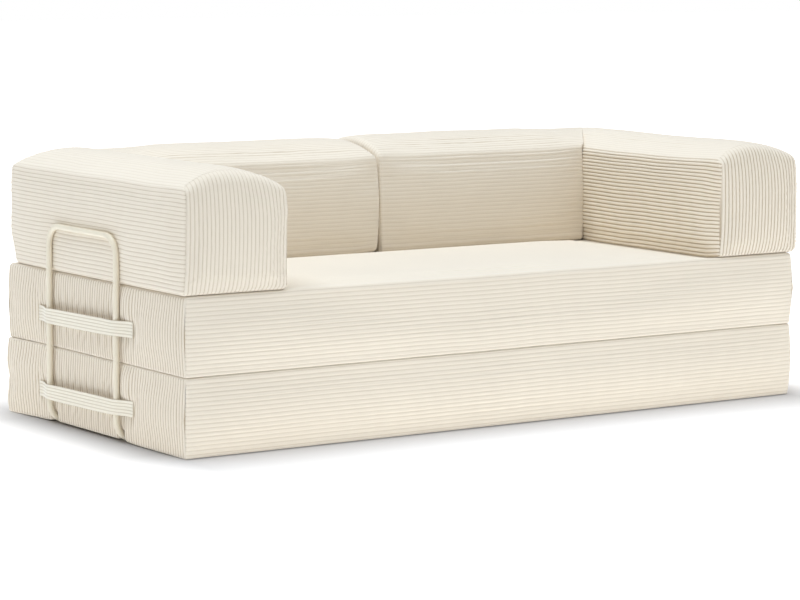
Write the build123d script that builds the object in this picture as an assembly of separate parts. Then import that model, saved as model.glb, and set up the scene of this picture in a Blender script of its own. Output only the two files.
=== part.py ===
from build123d import *
import math
import os

# A foam sofa bed: two mattress layers, two arm bolsters and two back bolsters, all in ribbed covers,
# with a bent tube frame in cloth straps beside each arm and behind each back.
# Millimetres. +X runs along the sofa to the viewer's right, +Y to its back, +Z up.
# The origin is on the floor, under the middle of the whole object.

# Mattress layers
MATTRESS_LENGTH = 2000.0
MATTRESS_DEPTH = 920.0
MATTRESS_HEIGHT = 202.0
MATTRESS_EDGE_RADIUS = 20.0
MATTRESS_CORNER_RADIUS = 30.0
MATTRESS_SIDE_BOW = 8.0
SEAT_CROWN = 7.0
SEAT_CROWN_MARGIN = 26.0
SEAT_CROWN_EDGE = 1.0

# Bolsters: arms and backs share one cross-section
BOLSTER_WIDTH = 290.0
BOLSTER_HEIGHT = 315.0
BOLSTER_OUTER_HEIGHT = 273.0
BOLSTER_INNER_HEIGHT = 258.0
BOLSTER_RIDGE_FROM_OUTER = 128.0
BOLSTER_OUTER_RADIUS = 22.0
BOLSTER_INNER_RADIUS = 50.0
BOLSTER_BOTTOM_RADIUS = 16.0
BOLSTER_END_BOW = 10.0
BOLSTER_END_TOP_RADIUS = 34.0
BOLSTER_CORNER_RADIUS = 26.0

# Covers, foam and the sheet under the base
COVER_WALL = 8.0
FOAM_GAP = 0.3
SHEET_THICKNESS = 1.5
SHEET_MARGIN = 34.0

# Clearances
LAYER_GAP = 0.4
BOLSTER_GAP = 0.4
TUBE_GAP = 0.4
SPARE = 2.0

# Tube frames
TUBE_DIAMETER = 16.0
TUBE_WALL = 1.2
FRAME_SPACING = 355.0
FRAME_TOP = 535.0
FRAME_TOP_BEND = 52.0
FRAME_FOOT_BEND = 46.0
FOOT_LENGTH = 250.0
SIDE_FRAME_BEHIND_MIDDLE = 42.0
CAP_FLANGE = 2.0
CAP_PLUG = 14.0
CAP_EDGE = 0.6

# Straps
STRAP_HEIGHT = 42.0
STRAP_THICKNESS = 3.0
STRAP_SEWN_END = 28.0
STRAP_SLOPE = 22.0
STRAP_ABOVE_LAYER_BOTTOM = 88.0

# Fold hinge between the layers
HINGE_STRIP_THICKNESS = 1.2
HINGE_STRIP_DEPTH_IN_CREASE = 12.0
HINGE_STRIP_END_MARGIN = 60.0

# Zips
TAPE_THICKNESS = 0.6
TAPE_HEIGHT = 13.0
CHAIN_THICKNESS = 1.4
CHAIN_HEIGHT = 5.0
ZIP_CLEARANCE = 0.12
SLIDER_LENGTH = 11.0
SLIDER_PLATE = 0.8
SLIDER_FLANGE = 1.2
LUG_THICKNESS = 1.2
LUG_RADIUS = 1.5
LUG_LIFT = 0.2
PIN_RADIUS = 0.7
PIN_CLEARANCE = 0.06
PULL_EYE_WIDTH = 3.0
PULL_THICKNESS = 1.0
PULL_WIDTH = 6.5
PULL_LENGTH = 19.0
PULL_NECK = 2.7
PULL_CORNER = 1.6
CHANNEL_HEIGHT = 16.0
CHANNEL_DEPTH = 6.4
ZIP_END_ROOM = 32.0
MATTRESS_ZIP_END_MARGIN = 70.0
BACK_ZIP_END_MARGIN = 44.0
ARM_ZIP_END_MARGIN = 38.0
MATTRESS_ZIP_HEIGHT = 52.0
BOLSTER_ZIP_HEIGHT = 44.0

# Places that follow from the sizes above
TUBE_RADIUS = TUBE_DIAMETER / 2
TUBE_STAND_OUT = TUBE_GAP + TUBE_DIAMETER
STRAP_STAND_OUT = TUBE_STAND_OUT + TUBE_GAP + STRAP_THICKNESS
MATTRESS_MIDDLE_Y = -STRAP_STAND_OUT / 2
FRONT_Y = MATTRESS_MIDDLE_Y - MATTRESS_DEPTH / 2
REAR_Y = MATTRESS_MIDDLE_Y + MATTRESS_DEPTH / 2
END_X = MATTRESS_LENGTH / 2
BASE_BOTTOM = SHEET_THICKNESS
BASE_TOP = BASE_BOTTOM + MATTRESS_HEIGHT
SEAT_BOTTOM = BASE_TOP + LAYER_GAP
SEAT_TOP = SEAT_BOTTOM + MATTRESS_HEIGHT
BOLSTER_BOTTOM = SEAT_TOP + BOLSTER_GAP
BACK_LENGTH = (MATTRESS_LENGTH - 2 * BOLSTER_WIDTH - 3 * BOLSTER_GAP) / 2
BACK_MIDDLE_X = (BACK_LENGTH + BOLSTER_GAP) / 2
MATTRESS_ZIP_LENGTH = MATTRESS_LENGTH - 2 * MATTRESS_ZIP_END_MARGIN
BACK_ZIP_LENGTH = BACK_LENGTH - 2 * BACK_ZIP_END_MARGIN
ARM_ZIP_LENGTH = BOLSTER_WIDTH - 2 * ARM_ZIP_END_MARGIN
SIDE_FRAME_Y = MATTRESS_MIDDLE_Y + SIDE_FRAME_BEHIND_MIDDLE
HINGE_Y = FRONT_Y - LAYER_GAP
HINGE_Z = BASE_TOP + LAYER_GAP / 2

# Where each frame stands: the face plane it leans on, with its feet turned inwards from that face
FRAME_PLACES = {
    "left": Location((-END_X, SIDE_FRAME_Y, 0), (0, 0, 0)),
    "right": Location((END_X, SIDE_FRAME_Y, 0), (0, 0, 180)),
    "rear_left": Location((-BACK_MIDDLE_X, REAR_Y, 0), (0, 0, -90)),
    "rear_right": Location((BACK_MIDDLE_X, REAR_Y, 0), (0, 0, -90)),
}

nodes = {}


def bow_setback(bow, height, above_bottom):
    """How far a face bowed outwards by bow lies behind its crown, at a height above its lower edge."""
    half = height / 2
    radius = (half**2 + bow**2) / (2 * bow)
    return radius - math.sqrt(radius**2 - (above_bottom - half) ** 2)


def bowed_panel(length, height, bow, top_radius, bottom_radius):
    """Outline with straight top and bottom and its two ends bowed outwards, standing on its own x axis."""
    peak = length / 2
    seam = peak - bow
    outline = make_face(
        [
            ThreePointArc((seam, 0), (peak, height / 2), (seam, height)),
            Line((seam, height), (-seam, height)),
            ThreePointArc((-seam, height), (-peak, height / 2), (-seam, 0)),
            Line((-seam, 0), (seam, 0)),
        ]
    )
    outline = fillet(outline.vertices().group_by(Axis.Y)[-1], top_radius)
    return fillet(outline.vertices().group_by(Axis.Y)[0], bottom_radius)


def inset_face(face, inset):
    """The outline moved inwards by inset, or the same outline for an inset of nothing."""
    return offset(face, amount=-inset) if inset else face


def mattress_block(inset=0.0):
    """One layer, standing on z = 0 about its own middle, with bowed front, back and ends."""
    side_view = bowed_panel(
        MATTRESS_DEPTH, MATTRESS_HEIGHT, MATTRESS_SIDE_BOW, MATTRESS_EDGE_RADIUS, MATTRESS_EDGE_RADIUS
    )
    end_radius = MATTRESS_EDGE_RADIUS + SPARE
    front_view = bowed_panel(
        MATTRESS_LENGTH, MATTRESS_HEIGHT + 2 * SPARE, MATTRESS_SIDE_BOW, end_radius, end_radius
    )
    plan = RectangleRounded(
        MATTRESS_LENGTH + 2 * SPARE, MATTRESS_DEPTH + 2 * SPARE, MATTRESS_CORNER_RADIUS
    )
    block = extrude(Plane.YZ * inset_face(side_view, inset), amount=END_X + SPARE, both=True)
    block &= Pos(0, 0, -SPARE) * extrude(
        Plane.XZ * inset_face(front_view, inset), amount=MATTRESS_DEPTH / 2 + SPARE, both=True
    )
    tall_plan = extrude(inset_face(plan, inset), amount=MATTRESS_HEIGHT + 2 * SPARE)
    return block & Pos(0, 0, -SPARE) * tall_plan


def seat_crown():
    """The shallow rise of the open seat between the arms, highest in its middle."""
    width = MATTRESS_LENGTH - 2 * BOLSTER_WIDTH - 2 * SEAT_CROWN_MARGIN
    depth = MATTRESS_DEPTH - BOLSTER_WIDTH - 2 * SEAT_CROWN_MARGIN
    rise_shares = (0, 0.75, 1, 0.75, 0)
    sections = []
    for index, share in enumerate(rise_shares):
        along = depth * (index / (len(rise_shares) - 1) - 1 / 2)
        rise = SEAT_CROWN_EDGE + (SEAT_CROWN - SEAT_CROWN_EDGE) * share
        outline = make_face(
            [
                ThreePointArc((-width / 2, 0), (0, rise), (width / 2, 0)),
                Line((width / 2, 0), (width / 2, -COVER_WALL / 2)),
                Line((width / 2, -COVER_WALL / 2), (-width / 2, -COVER_WALL / 2)),
                Line((-width / 2, -COVER_WALL / 2), (-width / 2, 0)),
            ]
        )
        sections.append(Pos(0, along, 0) * (Plane.XZ * outline))
    middle_y = FRONT_Y + SEAT_CROWN_MARGIN + depth / 2
    return Pos(0, middle_y, SEAT_TOP) * loft(sections)


def bolster_section():
    """Cross-section with its outer side on the y axis: a domed top, a crisp outer and a round inner shoulder."""
    ridge = (BOLSTER_RIDGE_FROM_OUTER, BOLSTER_HEIGHT)
    outer_top = (0, BOLSTER_OUTER_HEIGHT)
    inner_top = (BOLSTER_WIDTH, BOLSTER_INNER_HEIGHT)
    outline = make_face(
        [
            Line((0, 0), outer_top),
            TangentArc(ridge, outer_top, tangent=(-1, 0)),
            TangentArc(ridge, inner_top, tangent=(1, 0)),
            Line(inner_top, (BOLSTER_WIDTH, 0)),
            Line((BOLSTER_WIDTH, 0), (0, 0)),
        ]
    )
    corners = outline.vertices()
    outline = fillet(corners.group_by(Axis.Y)[0], BOLSTER_BOTTOM_RADIUS)
    corners = outline.vertices().filter_by(lambda v: v.Y > BOLSTER_HEIGHT / 2)
    outline = fillet(corners.sort_by(Axis.X)[0], BOLSTER_OUTER_RADIUS)
    corners = outline.vertices().filter_by(lambda v: v.Y > BOLSTER_HEIGHT / 2)
    return fillet(corners.sort_by(Axis.X)[-1], BOLSTER_INNER_RADIUS)


def bolster_block(length, inset=0.0):
    """A bolster along y about its middle, on z = 0, its outer side at x = 0 and its inner side at +x."""
    end_view = bolster_section()
    side_view = bowed_panel(
        length,
        BOLSTER_HEIGHT + 2 * SPARE,
        BOLSTER_END_BOW,
        BOLSTER_END_TOP_RADIUS,
        BOLSTER_BOTTOM_RADIUS + SPARE,
    )
    plan = RectangleRounded(BOLSTER_WIDTH + 2 * SPARE, length + 2 * SPARE, BOLSTER_CORNER_RADIUS)
    middle = BOLSTER_WIDTH / 2
    block = extrude(Plane.XZ * inset_face(end_view, inset), amount=length / 2 + SPARE, both=True)
    block &= Pos(middle, 0, -SPARE) * extrude(
        Plane.YZ * inset_face(side_view, inset), amount=middle + SPARE, both=True
    )
    tall_plan = extrude(inset_face(plan, inset), amount=BOLSTER_HEIGHT + 2 * SPARE)
    return block & Pos(middle, 0, -SPARE) * tall_plan


def frame_tube():
    """An upright U of tube, its feet turned inwards; x = 0 is the face that the frame leans on."""
    axis_x = -TUBE_GAP - TUBE_RADIUS
    half = FRAME_SPACING / 2
    top = FRAME_TOP - TUBE_RADIUS
    path = FilletPolyline(
        (axis_x + FOOT_LENGTH, -half, TUBE_RADIUS),
        (axis_x, -half, TUBE_RADIUS),
        (axis_x, -half, top),
        (axis_x, half, top),
        (axis_x, half, TUBE_RADIUS),
        (axis_x + FOOT_LENGTH, half, TUBE_RADIUS),
        radius=(FRAME_FOOT_BEND, FRAME_TOP_BEND, FRAME_TOP_BEND, FRAME_FOOT_BEND),
    )
    section = Plane(path @ 0, z_dir=path % 0) * (
        Circle(TUBE_RADIUS) - Circle(TUBE_RADIUS - TUBE_WALL)
    )
    return sweep(section, path)


def frame_caps():
    """The two plugs in the feet's open ends."""
    caps = Part()
    for side in (-1, 1):
        end = (-TUBE_GAP - TUBE_RADIUS + FOOT_LENGTH, side * FRAME_SPACING / 2, TUBE_RADIUS)
        plane = Plane(end, z_dir=(1, 0, 0))
        flange = extrude(plane * Circle(TUBE_RADIUS), amount=CAP_FLANGE)
        flange = fillet(flange.edges().sort_by(Axis.X)[-1], CAP_EDGE)
        caps += flange + extrude(plane * Circle(TUBE_RADIUS - TUBE_WALL), amount=-CAP_PLUG)
    return caps


def foot_slots(wall=0.0):
    """The space that the feet press into the base, open downwards, larger by wall all round."""
    axis_x = -TUBE_GAP - TUBE_RADIUS
    bend_x = axis_x + FRAME_FOOT_BEND
    bend_z = TUBE_RADIUS + FRAME_FOOT_BEND
    inner_bend = FRAME_FOOT_BEND - TUBE_RADIUS - TUBE_GAP - wall
    slot_end = axis_x + FOOT_LENGTH + CAP_FLANGE + TUBE_GAP + wall
    half_angle = math.radians(45)
    outside_x = axis_x - TUBE_DIAMETER
    below = -TUBE_DIAMETER
    outline = make_face(
        [
            ThreePointArc(
                (bend_x - inner_bend, bend_z),
                (bend_x - inner_bend * math.cos(half_angle), bend_z - inner_bend * math.sin(half_angle)),
                (bend_x, bend_z - inner_bend),
            ),
            Line((bend_x, bend_z - inner_bend), (slot_end, bend_z - inner_bend)),
            Line((slot_end, bend_z - inner_bend), (slot_end, below)),
            Line((slot_end, below), (outside_x, below)),
            Line((outside_x, below), (outside_x, bend_z)),
            Line((outside_x, bend_z), (bend_x - inner_bend, bend_z)),
        ]
    )
    slot = extrude(Plane.XZ * outline, amount=TUBE_RADIUS + TUBE_GAP + wall, both=True)
    return [Pos(0, side * FRAME_SPACING / 2, 0) * slot for side in (-1, 1)]


def strap():
    """A strap sewn down at both ends, held off its face by the two legs; x = 0 is that face."""
    reach = TUBE_RADIUS + TUBE_GAP
    slope = math.radians(STRAP_SLOPE)
    half_turn = math.tan(slope / 2)
    leg = FRAME_SPACING / 2
    inner = 2 * reach
    outer = inner + STRAP_THICKNESS
    foot = leg + reach * half_turn + inner / math.tan(slope)
    end = foot + STRAP_SEWN_END
    half_outline = [
        (0, end),
        (0, foot),
        (inner, leg + reach * half_turn),
        (inner, 0),
        (outer, 0),
        (outer, leg + (reach + STRAP_THICKNESS) * half_turn),
        (STRAP_THICKNESS, foot + STRAP_THICKNESS * half_turn),
        (STRAP_THICKNESS, end),
    ]
    half_plan = make_face(Polyline(*[(-away, along) for away, along in half_outline], close=True))
    bends = half_plan.vertices().filter_by(lambda v: leg < v.Y < foot - inner)
    half_plan = fillet(bends.sort_by(Axis.X)[0], reach + STRAP_THICKNESS)
    bends = half_plan.vertices().filter_by(lambda v: leg < v.Y < foot - inner)
    corner = bends.sort_by_distance((-inner, leg + reach * half_turn))[0]
    half_plan = fillet(corner, reach)
    half = extrude(half_plan, amount=STRAP_HEIGHT / 2, both=True)
    return half + mirror(half, about=Plane.XZ)


def zip_parts(length):
    """Tape with its chain, slider and pull along x, in a channel below the cover's face at y = 0."""
    floor = -CHANNEL_DEPTH
    tape = Pos(0, floor + TAPE_THICKNESS / 2, 0) * Box(length, TAPE_THICKNESS, TAPE_HEIGHT)
    chain_y = floor + TAPE_THICKNESS + CHAIN_THICKNESS / 2
    tape += Pos(0, chain_y, 0) * Box(length, CHAIN_THICKNESS, CHAIN_HEIGHT)
    slider_low = floor + TAPE_THICKNESS + ZIP_CLEARANCE
    slider_high = floor + TAPE_THICKNESS + CHAIN_THICKNESS + ZIP_CLEARANCE + SLIDER_PLATE
    slider_width = CHAIN_HEIGHT + 2 * (ZIP_CLEARANCE + SLIDER_FLANGE)
    start_x = -length / 2 + ZIP_END_ROOM
    body = Pos(start_x, (slider_low + slider_high) / 2, 0) * Box(
        SLIDER_LENGTH, slider_high - slider_low, slider_width
    )
    body = fillet(body.edges().filter_by(Axis.Y), SLIDER_FLANGE)
    body -= Pos(start_x, chain_y, 0) * Box(
        SLIDER_LENGTH + 2 * SPARE, CHAIN_THICKNESS + 2 * ZIP_CLEARANCE, CHAIN_HEIGHT + 2 * ZIP_CLEARANCE
    )
    pin_y = slider_high + LUG_LIFT + LUG_RADIUS
    lug_outline = Pos(start_x, pin_y) * Circle(LUG_RADIUS)
    lug_outline += Pos(start_x, (pin_y + slider_high) / 2) * Rectangle(
        2 * LUG_RADIUS, pin_y - slider_high
    )
    lug_z = PULL_EYE_WIDTH / 2 + PIN_CLEARANCE
    for side in (-1, 1):
        low = lug_z if side > 0 else -lug_z - LUG_THICKNESS
        body += Pos(0, 0, low) * extrude(lug_outline, amount=LUG_THICKNESS)
    body += Pos(start_x, pin_y, 0) * Cylinder(PIN_RADIUS, 2 * lug_z + LUG_THICKNESS)
    eye = Pos(start_x, pin_y, 0) * Cylinder(LUG_RADIUS, PULL_EYE_WIDTH)
    neck = Pos(start_x + PULL_NECK / 2 + PULL_CORNER / 2, pin_y, 0) * Box(
        PULL_NECK + PULL_CORNER, PULL_THICKNESS, PULL_EYE_WIDTH
    )
    blade_length = PULL_LENGTH - PULL_NECK
    blade = Pos(start_x + PULL_NECK + blade_length / 2, pin_y, 0) * Box(
        blade_length, PULL_THICKNESS, PULL_WIDTH
    )
    blade = fillet(blade.edges().filter_by(Axis.Y), PULL_CORNER)
    pull = eye + neck + blade
    pull -= Pos(start_x, pin_y, 0) * Cylinder(PIN_RADIUS + PIN_CLEARANCE, PULL_EYE_WIDTH + SPARE)
    return {"zip": tape, "zip_slider": body, "zip_pull": pull}


def add_zip(name, cover, length, place):
    """Cuts the channel of a cushion's zip into its cover and adds the zip's pieces."""
    channel = Pos(0, SPARE - CHANNEL_DEPTH / 2, 0) * Box(
        length + 2 * ZIP_CLEARANCE, CHANNEL_DEPTH + 2 * SPARE, CHANNEL_HEIGHT
    )
    for part, solid in zip_parts(length).items():
        nodes[f"{name}_{part}"] = place * solid
    return cover - place * channel


def add_mattress(name, bottom, zip_length, cuts=(), cavity_cuts=(), core_cuts=(), crown=None):
    """Adds a layer's cover, foam core and zip at its height."""
    place = Pos(0, MATTRESS_MIDDLE_Y, bottom)
    cover = place * mattress_block()
    cavity = place * mattress_block(COVER_WALL)
    core = place * mattress_block(COVER_WALL + FOAM_GAP)
    if crown:
        cover += crown
    for cut in cuts:
        cover -= cut
    for cut in cavity_cuts:
        cavity -= cut
    for cut in core_cuts:
        core -= cut
    cover -= cavity
    zip_y = REAR_Y - bow_setback(MATTRESS_SIDE_BOW, MATTRESS_HEIGHT, MATTRESS_ZIP_HEIGHT)
    cover = add_zip(name, cover, zip_length, Pos(0, zip_y, bottom + MATTRESS_ZIP_HEIGHT))
    nodes[f"{name}_cover"] = cover
    nodes[f"{name}_foam_core"] = core


def add_bolster(name, length, place, zip_length, zip_place):
    """Adds a bolster's cover, foam core and zip where place puts its outer face."""
    cover = place * (bolster_block(length) - bolster_block(length, COVER_WALL))
    nodes[f"{name}_cover"] = add_zip(name, cover, zip_length, zip_place)
    nodes[f"{name}_foam_core"] = place * bolster_block(length, COVER_WALL + FOAM_GAP)


def hinge_strip(base, seat):
    """The cloth web in the front crease that joins the seat to the base along its whole length."""
    web = Pos(0, FRONT_Y + HINGE_STRIP_DEPTH_IN_CREASE, HINGE_Z) * Box(
        MATTRESS_LENGTH - 2 * HINGE_STRIP_END_MARGIN, HINGE_STRIP_THICKNESS, MATTRESS_EDGE_RADIUS
    )
    return (web - base - seat - Pos(0, 0, -LAYER_GAP) * seat).solid()


# Mattress layers
slots = [place * slot for place in FRAME_PLACES.values() for slot in foot_slots()]
walled_slots = [place * slot for place in FRAME_PLACES.values() for slot in foot_slots(COVER_WALL)]
core_slots = [
    place * slot for place in FRAME_PLACES.values() for slot in foot_slots(COVER_WALL + FOAM_GAP)
]
add_mattress("base", BASE_BOTTOM, MATTRESS_ZIP_LENGTH, slots, walled_slots, core_slots)
add_mattress("seat", SEAT_BOTTOM, MATTRESS_ZIP_LENGTH, crown=seat_crown())

sheet = Pos(0, MATTRESS_MIDDLE_Y, 0) * extrude(
    RectangleRounded(
        MATTRESS_LENGTH - 2 * SHEET_MARGIN, MATTRESS_DEPTH - 2 * SHEET_MARGIN, MATTRESS_CORNER_RADIUS
    ),
    amount=SHEET_THICKNESS,
)
for slot in slots:
    sheet -= slot
nodes["base_non_slip_sheet"] = sheet

base_outer = Pos(0, MATTRESS_MIDDLE_Y, BASE_BOTTOM) * mattress_block()
seat_outer = Pos(0, MATTRESS_MIDDLE_Y, SEAT_BOTTOM) * mattress_block()
nodes["fold_hinge_strip"] = hinge_strip(base_outer, seat_outer)

# Bolsters: both arms lie the same way round, so the right one has its crisp shoulder towards the seat
zip_z = BOLSTER_BOTTOM + BOLSTER_ZIP_HEIGHT
arm_zip_y = REAR_Y - bow_setback(BOLSTER_END_BOW, BOLSTER_HEIGHT + SPARE, BOLSTER_ZIP_HEIGHT)
for side, arm_x in (("left", -END_X), ("right", END_X - BOLSTER_WIDTH)):
    add_bolster(
        f"arm_{side}",
        MATTRESS_DEPTH,
        Pos(arm_x, MATTRESS_MIDDLE_Y, BOLSTER_BOTTOM),
        ARM_ZIP_LENGTH,
        Pos(arm_x + BOLSTER_WIDTH / 2, arm_zip_y, zip_z),
    )
for side, back_x in (("left", -BACK_MIDDLE_X), ("right", BACK_MIDDLE_X)):
    add_bolster(
        f"back_{side}",
        BACK_LENGTH,
        Location((back_x, REAR_Y, BOLSTER_BOTTOM), (0, 0, -90)),
        BACK_ZIP_LENGTH,
        Pos(back_x, REAR_Y, zip_z),
    )

# Frames and the straps that hold them
for name, place in FRAME_PLACES.items():
    nodes[f"frame_{name}_tube"] = place * frame_tube()
    nodes[f"frame_{name}_end_caps"] = place * frame_caps()
    lower = Pos(0, 0, BASE_BOTTOM + STRAP_ABOVE_LAYER_BOTTOM)
    upper = Pos(0, 0, SEAT_BOTTOM + STRAP_ABOVE_LAYER_BOTTOM)
    nodes[f"strap_{name}_lower"] = place * (lower * strap())
    nodes[f"strap_{name}_upper"] = place * (upper * strap())

os.makedirs("parts", exist_ok=True)
for name, shape in nodes.items():
    export_step(shape, f"parts/{name}.step")
print(len(nodes), "nodes, fold hinge axis along x at y", HINGE_Y, "and z", HINGE_Z)
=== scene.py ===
import math
from collections import namedtuple
from dataclasses import dataclass

import bpy
import numpy as np
from mathutils import Matrix, Vector
from mathutils.kdtree import KDTree


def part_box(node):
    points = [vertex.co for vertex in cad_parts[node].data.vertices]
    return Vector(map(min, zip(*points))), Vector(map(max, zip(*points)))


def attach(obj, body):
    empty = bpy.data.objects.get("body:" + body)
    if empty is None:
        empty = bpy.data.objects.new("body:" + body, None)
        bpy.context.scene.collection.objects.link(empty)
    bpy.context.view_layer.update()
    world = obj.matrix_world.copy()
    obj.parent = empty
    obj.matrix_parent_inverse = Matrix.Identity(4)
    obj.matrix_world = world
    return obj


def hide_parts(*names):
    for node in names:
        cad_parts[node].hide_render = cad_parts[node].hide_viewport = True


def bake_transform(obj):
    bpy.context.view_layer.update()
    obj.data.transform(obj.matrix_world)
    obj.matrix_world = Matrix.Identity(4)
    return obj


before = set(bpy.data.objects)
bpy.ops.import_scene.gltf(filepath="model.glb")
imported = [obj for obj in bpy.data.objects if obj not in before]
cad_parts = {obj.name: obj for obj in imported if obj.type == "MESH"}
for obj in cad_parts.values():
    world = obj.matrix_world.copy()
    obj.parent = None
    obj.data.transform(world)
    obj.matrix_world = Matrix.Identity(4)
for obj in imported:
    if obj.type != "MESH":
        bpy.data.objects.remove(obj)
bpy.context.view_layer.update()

MM = 0.001

# Corduroy: how far apart its wales are, how deep its valleys, and how dark their colour is on sides and on
# tops, partly the cloth's darker ground and partly painted shade
Ribs = namedtuple("Ribs", "pitch depth contrast top_contrast")
LAYER_RIBS = Ribs(11 * MM, 0.9 * MM, 0.54, 0.25)
LAYER_END_RIBS = Ribs(12.1 * MM, 3.2 * MM, 1.05, 0.4)
ARM_LEFT_RIBS = Ribs(11 * MM, 1.1 * MM, 0.64, 0.46)
ARM_LEFT_END_RIBS = Ribs(11 * MM, 1.8 * MM, 0.64, 0.5)
ARM_RIGHT_RIBS = Ribs(11 * MM, 2.9 * MM, 1.05, 0.46)
ARM_RIGHT_END_RIBS = Ribs(11.6 * MM, 2.7 * MM, 0.95, 0.5)
BACK_RIBS = Ribs(11 * MM, 0.7 * MM, 0.44, 0.66)
BACK_END_RIBS = Ribs(11 * MM, 1.2 * MM, 0.5, 0.5)
ARM_RIBS = {"left": (ARM_LEFT_RIBS, ARM_LEFT_END_RIBS), "right": (ARM_RIGHT_RIBS, ARM_RIGHT_END_RIBS)}

# Valleys on a cover's top: how deep, and how far up the cover faces where they, and the painted shade in
# them, turn to that from the side's
TOP_DEPTH = 0.5 * MM
TOP_FROM = 0.5
TOP_FULLY = 0.88

# How finely the cloth is made, and how its panels meet in the seams
WALE_ROUNDNESS = 0.62
POINTS_PER_WALE = 6
ROW_SPACING = 24 * MM
ARC_ROWS = 4
RIM_STEP = 2 * MM
END_ROW_SPACING = 8 * MM
END_ROWS_LEAST = 24
END_ROWS_EVEN = 0.45
SLOT_ROWS = 13
SEAM_TUCK = 7 * MM
SEAM_TUCK_BACK = 1.5 * MM
WALE_WAVER = 0.7 * MM
WALE_WAVER_SIZE = 0.45
OUTLINE_STEP = 0.5 * MM

# Unevenness of the foam as size and height, and how it fades where a cushion lies on something
LAYER_UNEVEN = (0.4, 0.7 * MM)
ARM_UNEVEN = (0.35, 0.9 * MM)
BACK_UNEVEN = (0.3, 0.9 * MM)
RIPPLE_SPREAD = (0.6, 1.5)
ARM_SEED = 20
BACK_SEED = 30
CONTACT_FADE = 25 * MM

# How far a surface leans that way to count as facing up or to the rear
FACES_UP = 0.6
FACES_REAR = 0.3

# Mattress layers
MATTRESS_BOW = 5 * MM
SEAT_TOP_EDGE = 11 * MM
CREASE_EDGE = 6 * MM
BASE_BOTTOM_EDGE = 6 * MM
MATTRESS_END_EDGE = 11 * MM
SEAT_CROWN = 6 * MM
CROWN_MARGIN = 20 * MM
CORNER_PUSH = {"base": 16 * MM, "seat": 10 * MM}
CORNER_DRAWN = 0.45
SEAT_DIP = 7 * MM
SEAT_DIP_WIDTH = 70 * MM
SEAT_DIP_HEIGHT = 70 * MM
CORNER_PUSH_LENGTH = 200 * MM
PUCKER_DEPTH = 0.8 * MM
PUCKER_PITCH = 19 * MM
PUCKER_REACH = 42 * MM
PUCKER_WAVER = (0.08, 5 * MM)
PUCKER_SEED = 50

# Bolsters
RIDGE_FROM_OUTER = 128 * MM
OUTER_HEIGHT = 273 * MM
OUTER_SHOULDER = 22 * MM
INNER_HEIGHT = {"back": 277 * MM, "arm_left": 271 * MM, "arm_right": 279 * MM}
INNER_SHOULDER = {"back": 20 * MM, "arm_left": 44 * MM, "arm_right": 32 * MM}
BOLSTER_BOTTOM_EDGE = 12 * MM
BOLSTER_END_BOW = 8 * MM
BOLSTER_END_TOP = 34 * MM
MIDDLE_END_TOP = 17 * MM
BOLSTER_END_SIDE = 12 * MM
BOLSTER_END_BOTTOM = 9 * MM
SEAM_ANGLE = math.radians(45)
TOP_SEAM_ANGLE = math.radians(12)
REAR_DRAWN_IN = 24 * MM
REAR_DRAWN_HEIGHT = 95 * MM
REAR_DRAWN_LENGTH = 160 * MM
SEAT_SIDE_BULGE = 19 * MM
FREE_SIDE_BULGE = 17 * MM
BULGE_FADE = 150 * MM
BULGE_FOOT = 35 * MM
BULGE_AT_TOP = 0.35
BULGE_FALLS_FROM = 0.55
RIGHT_ARM_SET_BACK = 16 * MM
CORNER_DENT = 8 * MM
CORNER_DENT_LENGTH = 60 * MM
HIP_BLEND = 3 * MM
ARM_SAG_FRONT = {"arm_left": 5 * MM, "arm_right": 0.0}
ARM_SAG_REAR = {"arm_left": 9 * MM, "arm_right": 7 * MM}
ARM_SAG_LENGTH = 300 * MM
BACK_SAG = {"back_left": 9 * MM, "back_right": 4 * MM}
BACK_BULGE = 13 * MM
BACK_BULGE_FALLS_FROM = 0.4
BACK_FORWARD = 8 * MM
BACK_END_LENGTH = 260 * MM
BACK_LIFT = 7 * MM
BACK_LIFT_HEIGHT = 60 * MM
BACK_LIFT_LENGTH = 90 * MM
LAPPED_END_EDGE = 7 * MM

# Tube frames, their feet and straps
TUBE_DIAMETER = 16 * MM
TUBE_GAP = 0.4 * MM
FOOT_BEND = 46 * MM
FOOT_ROOM = 1.2 * MM
FOOT_SOFTNESS = 14 * MM
FOOT_LIFT = 4 * MM
FOOT_LIFT_DEPTH = 70 * MM
FOOT_LIFT_HEIGHT = 45 * MM
STRAP_HEIGHT = 42 * MM
STRAP_THICKNESS = 3.2 * MM
STRAP_SLOPE = math.radians(22)
STRAP_SEWN_END = 28 * MM
STRAP_WALES = 5
STRAP_WALE_DEPTH = 1.1 * MM
STRAP_STEP = 5 * MM
STRAP_RISE_TO_FRONT = 9 * MM
STRAP_PINCH = 4.5 * MM
STRAP_PINCH_HEIGHT = 34 * MM
STRAP_SEATED = -0.6 * STRAP_PINCH
STRAP_CREASE = 2 * MM
STRAP_FOLD = 0.35
STRAP_GATHER = 0.05
LEG_BULGE = 6 * MM
LEG_BULGE_ELSEWHERE = 0.5
LEG_BULGE_STEP = 0.1
LEG_BULGE_WIDTH = 34 * MM
LEG_PRESS = 1.5 * MM
STITCH_LENGTH = 2.8 * MM
STITCH_PITCH = 4.2 * MM
STITCH_WIDTH = 0.9 * MM

# A stitch or a tooth: places along it and its thickness there, as shares
BAR_SHAPE = ((0, 0.45), (0.16, 1), (0.84, 1), (1, 0.45))

# Zips
ZIP_LIP = 3 * MM
ZIP_SLOT_HALF = 7.5 * MM
ZIP_BACK_ROOM = 0.5 * MM
TOOTH_PITCH = 2.3 * MM
TAPE_THICKNESS = 0.6 * MM
CHAIN_HEIGHT = 5 * MM
TOOTH_OVERLAP = 0.6 * MM

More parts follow.
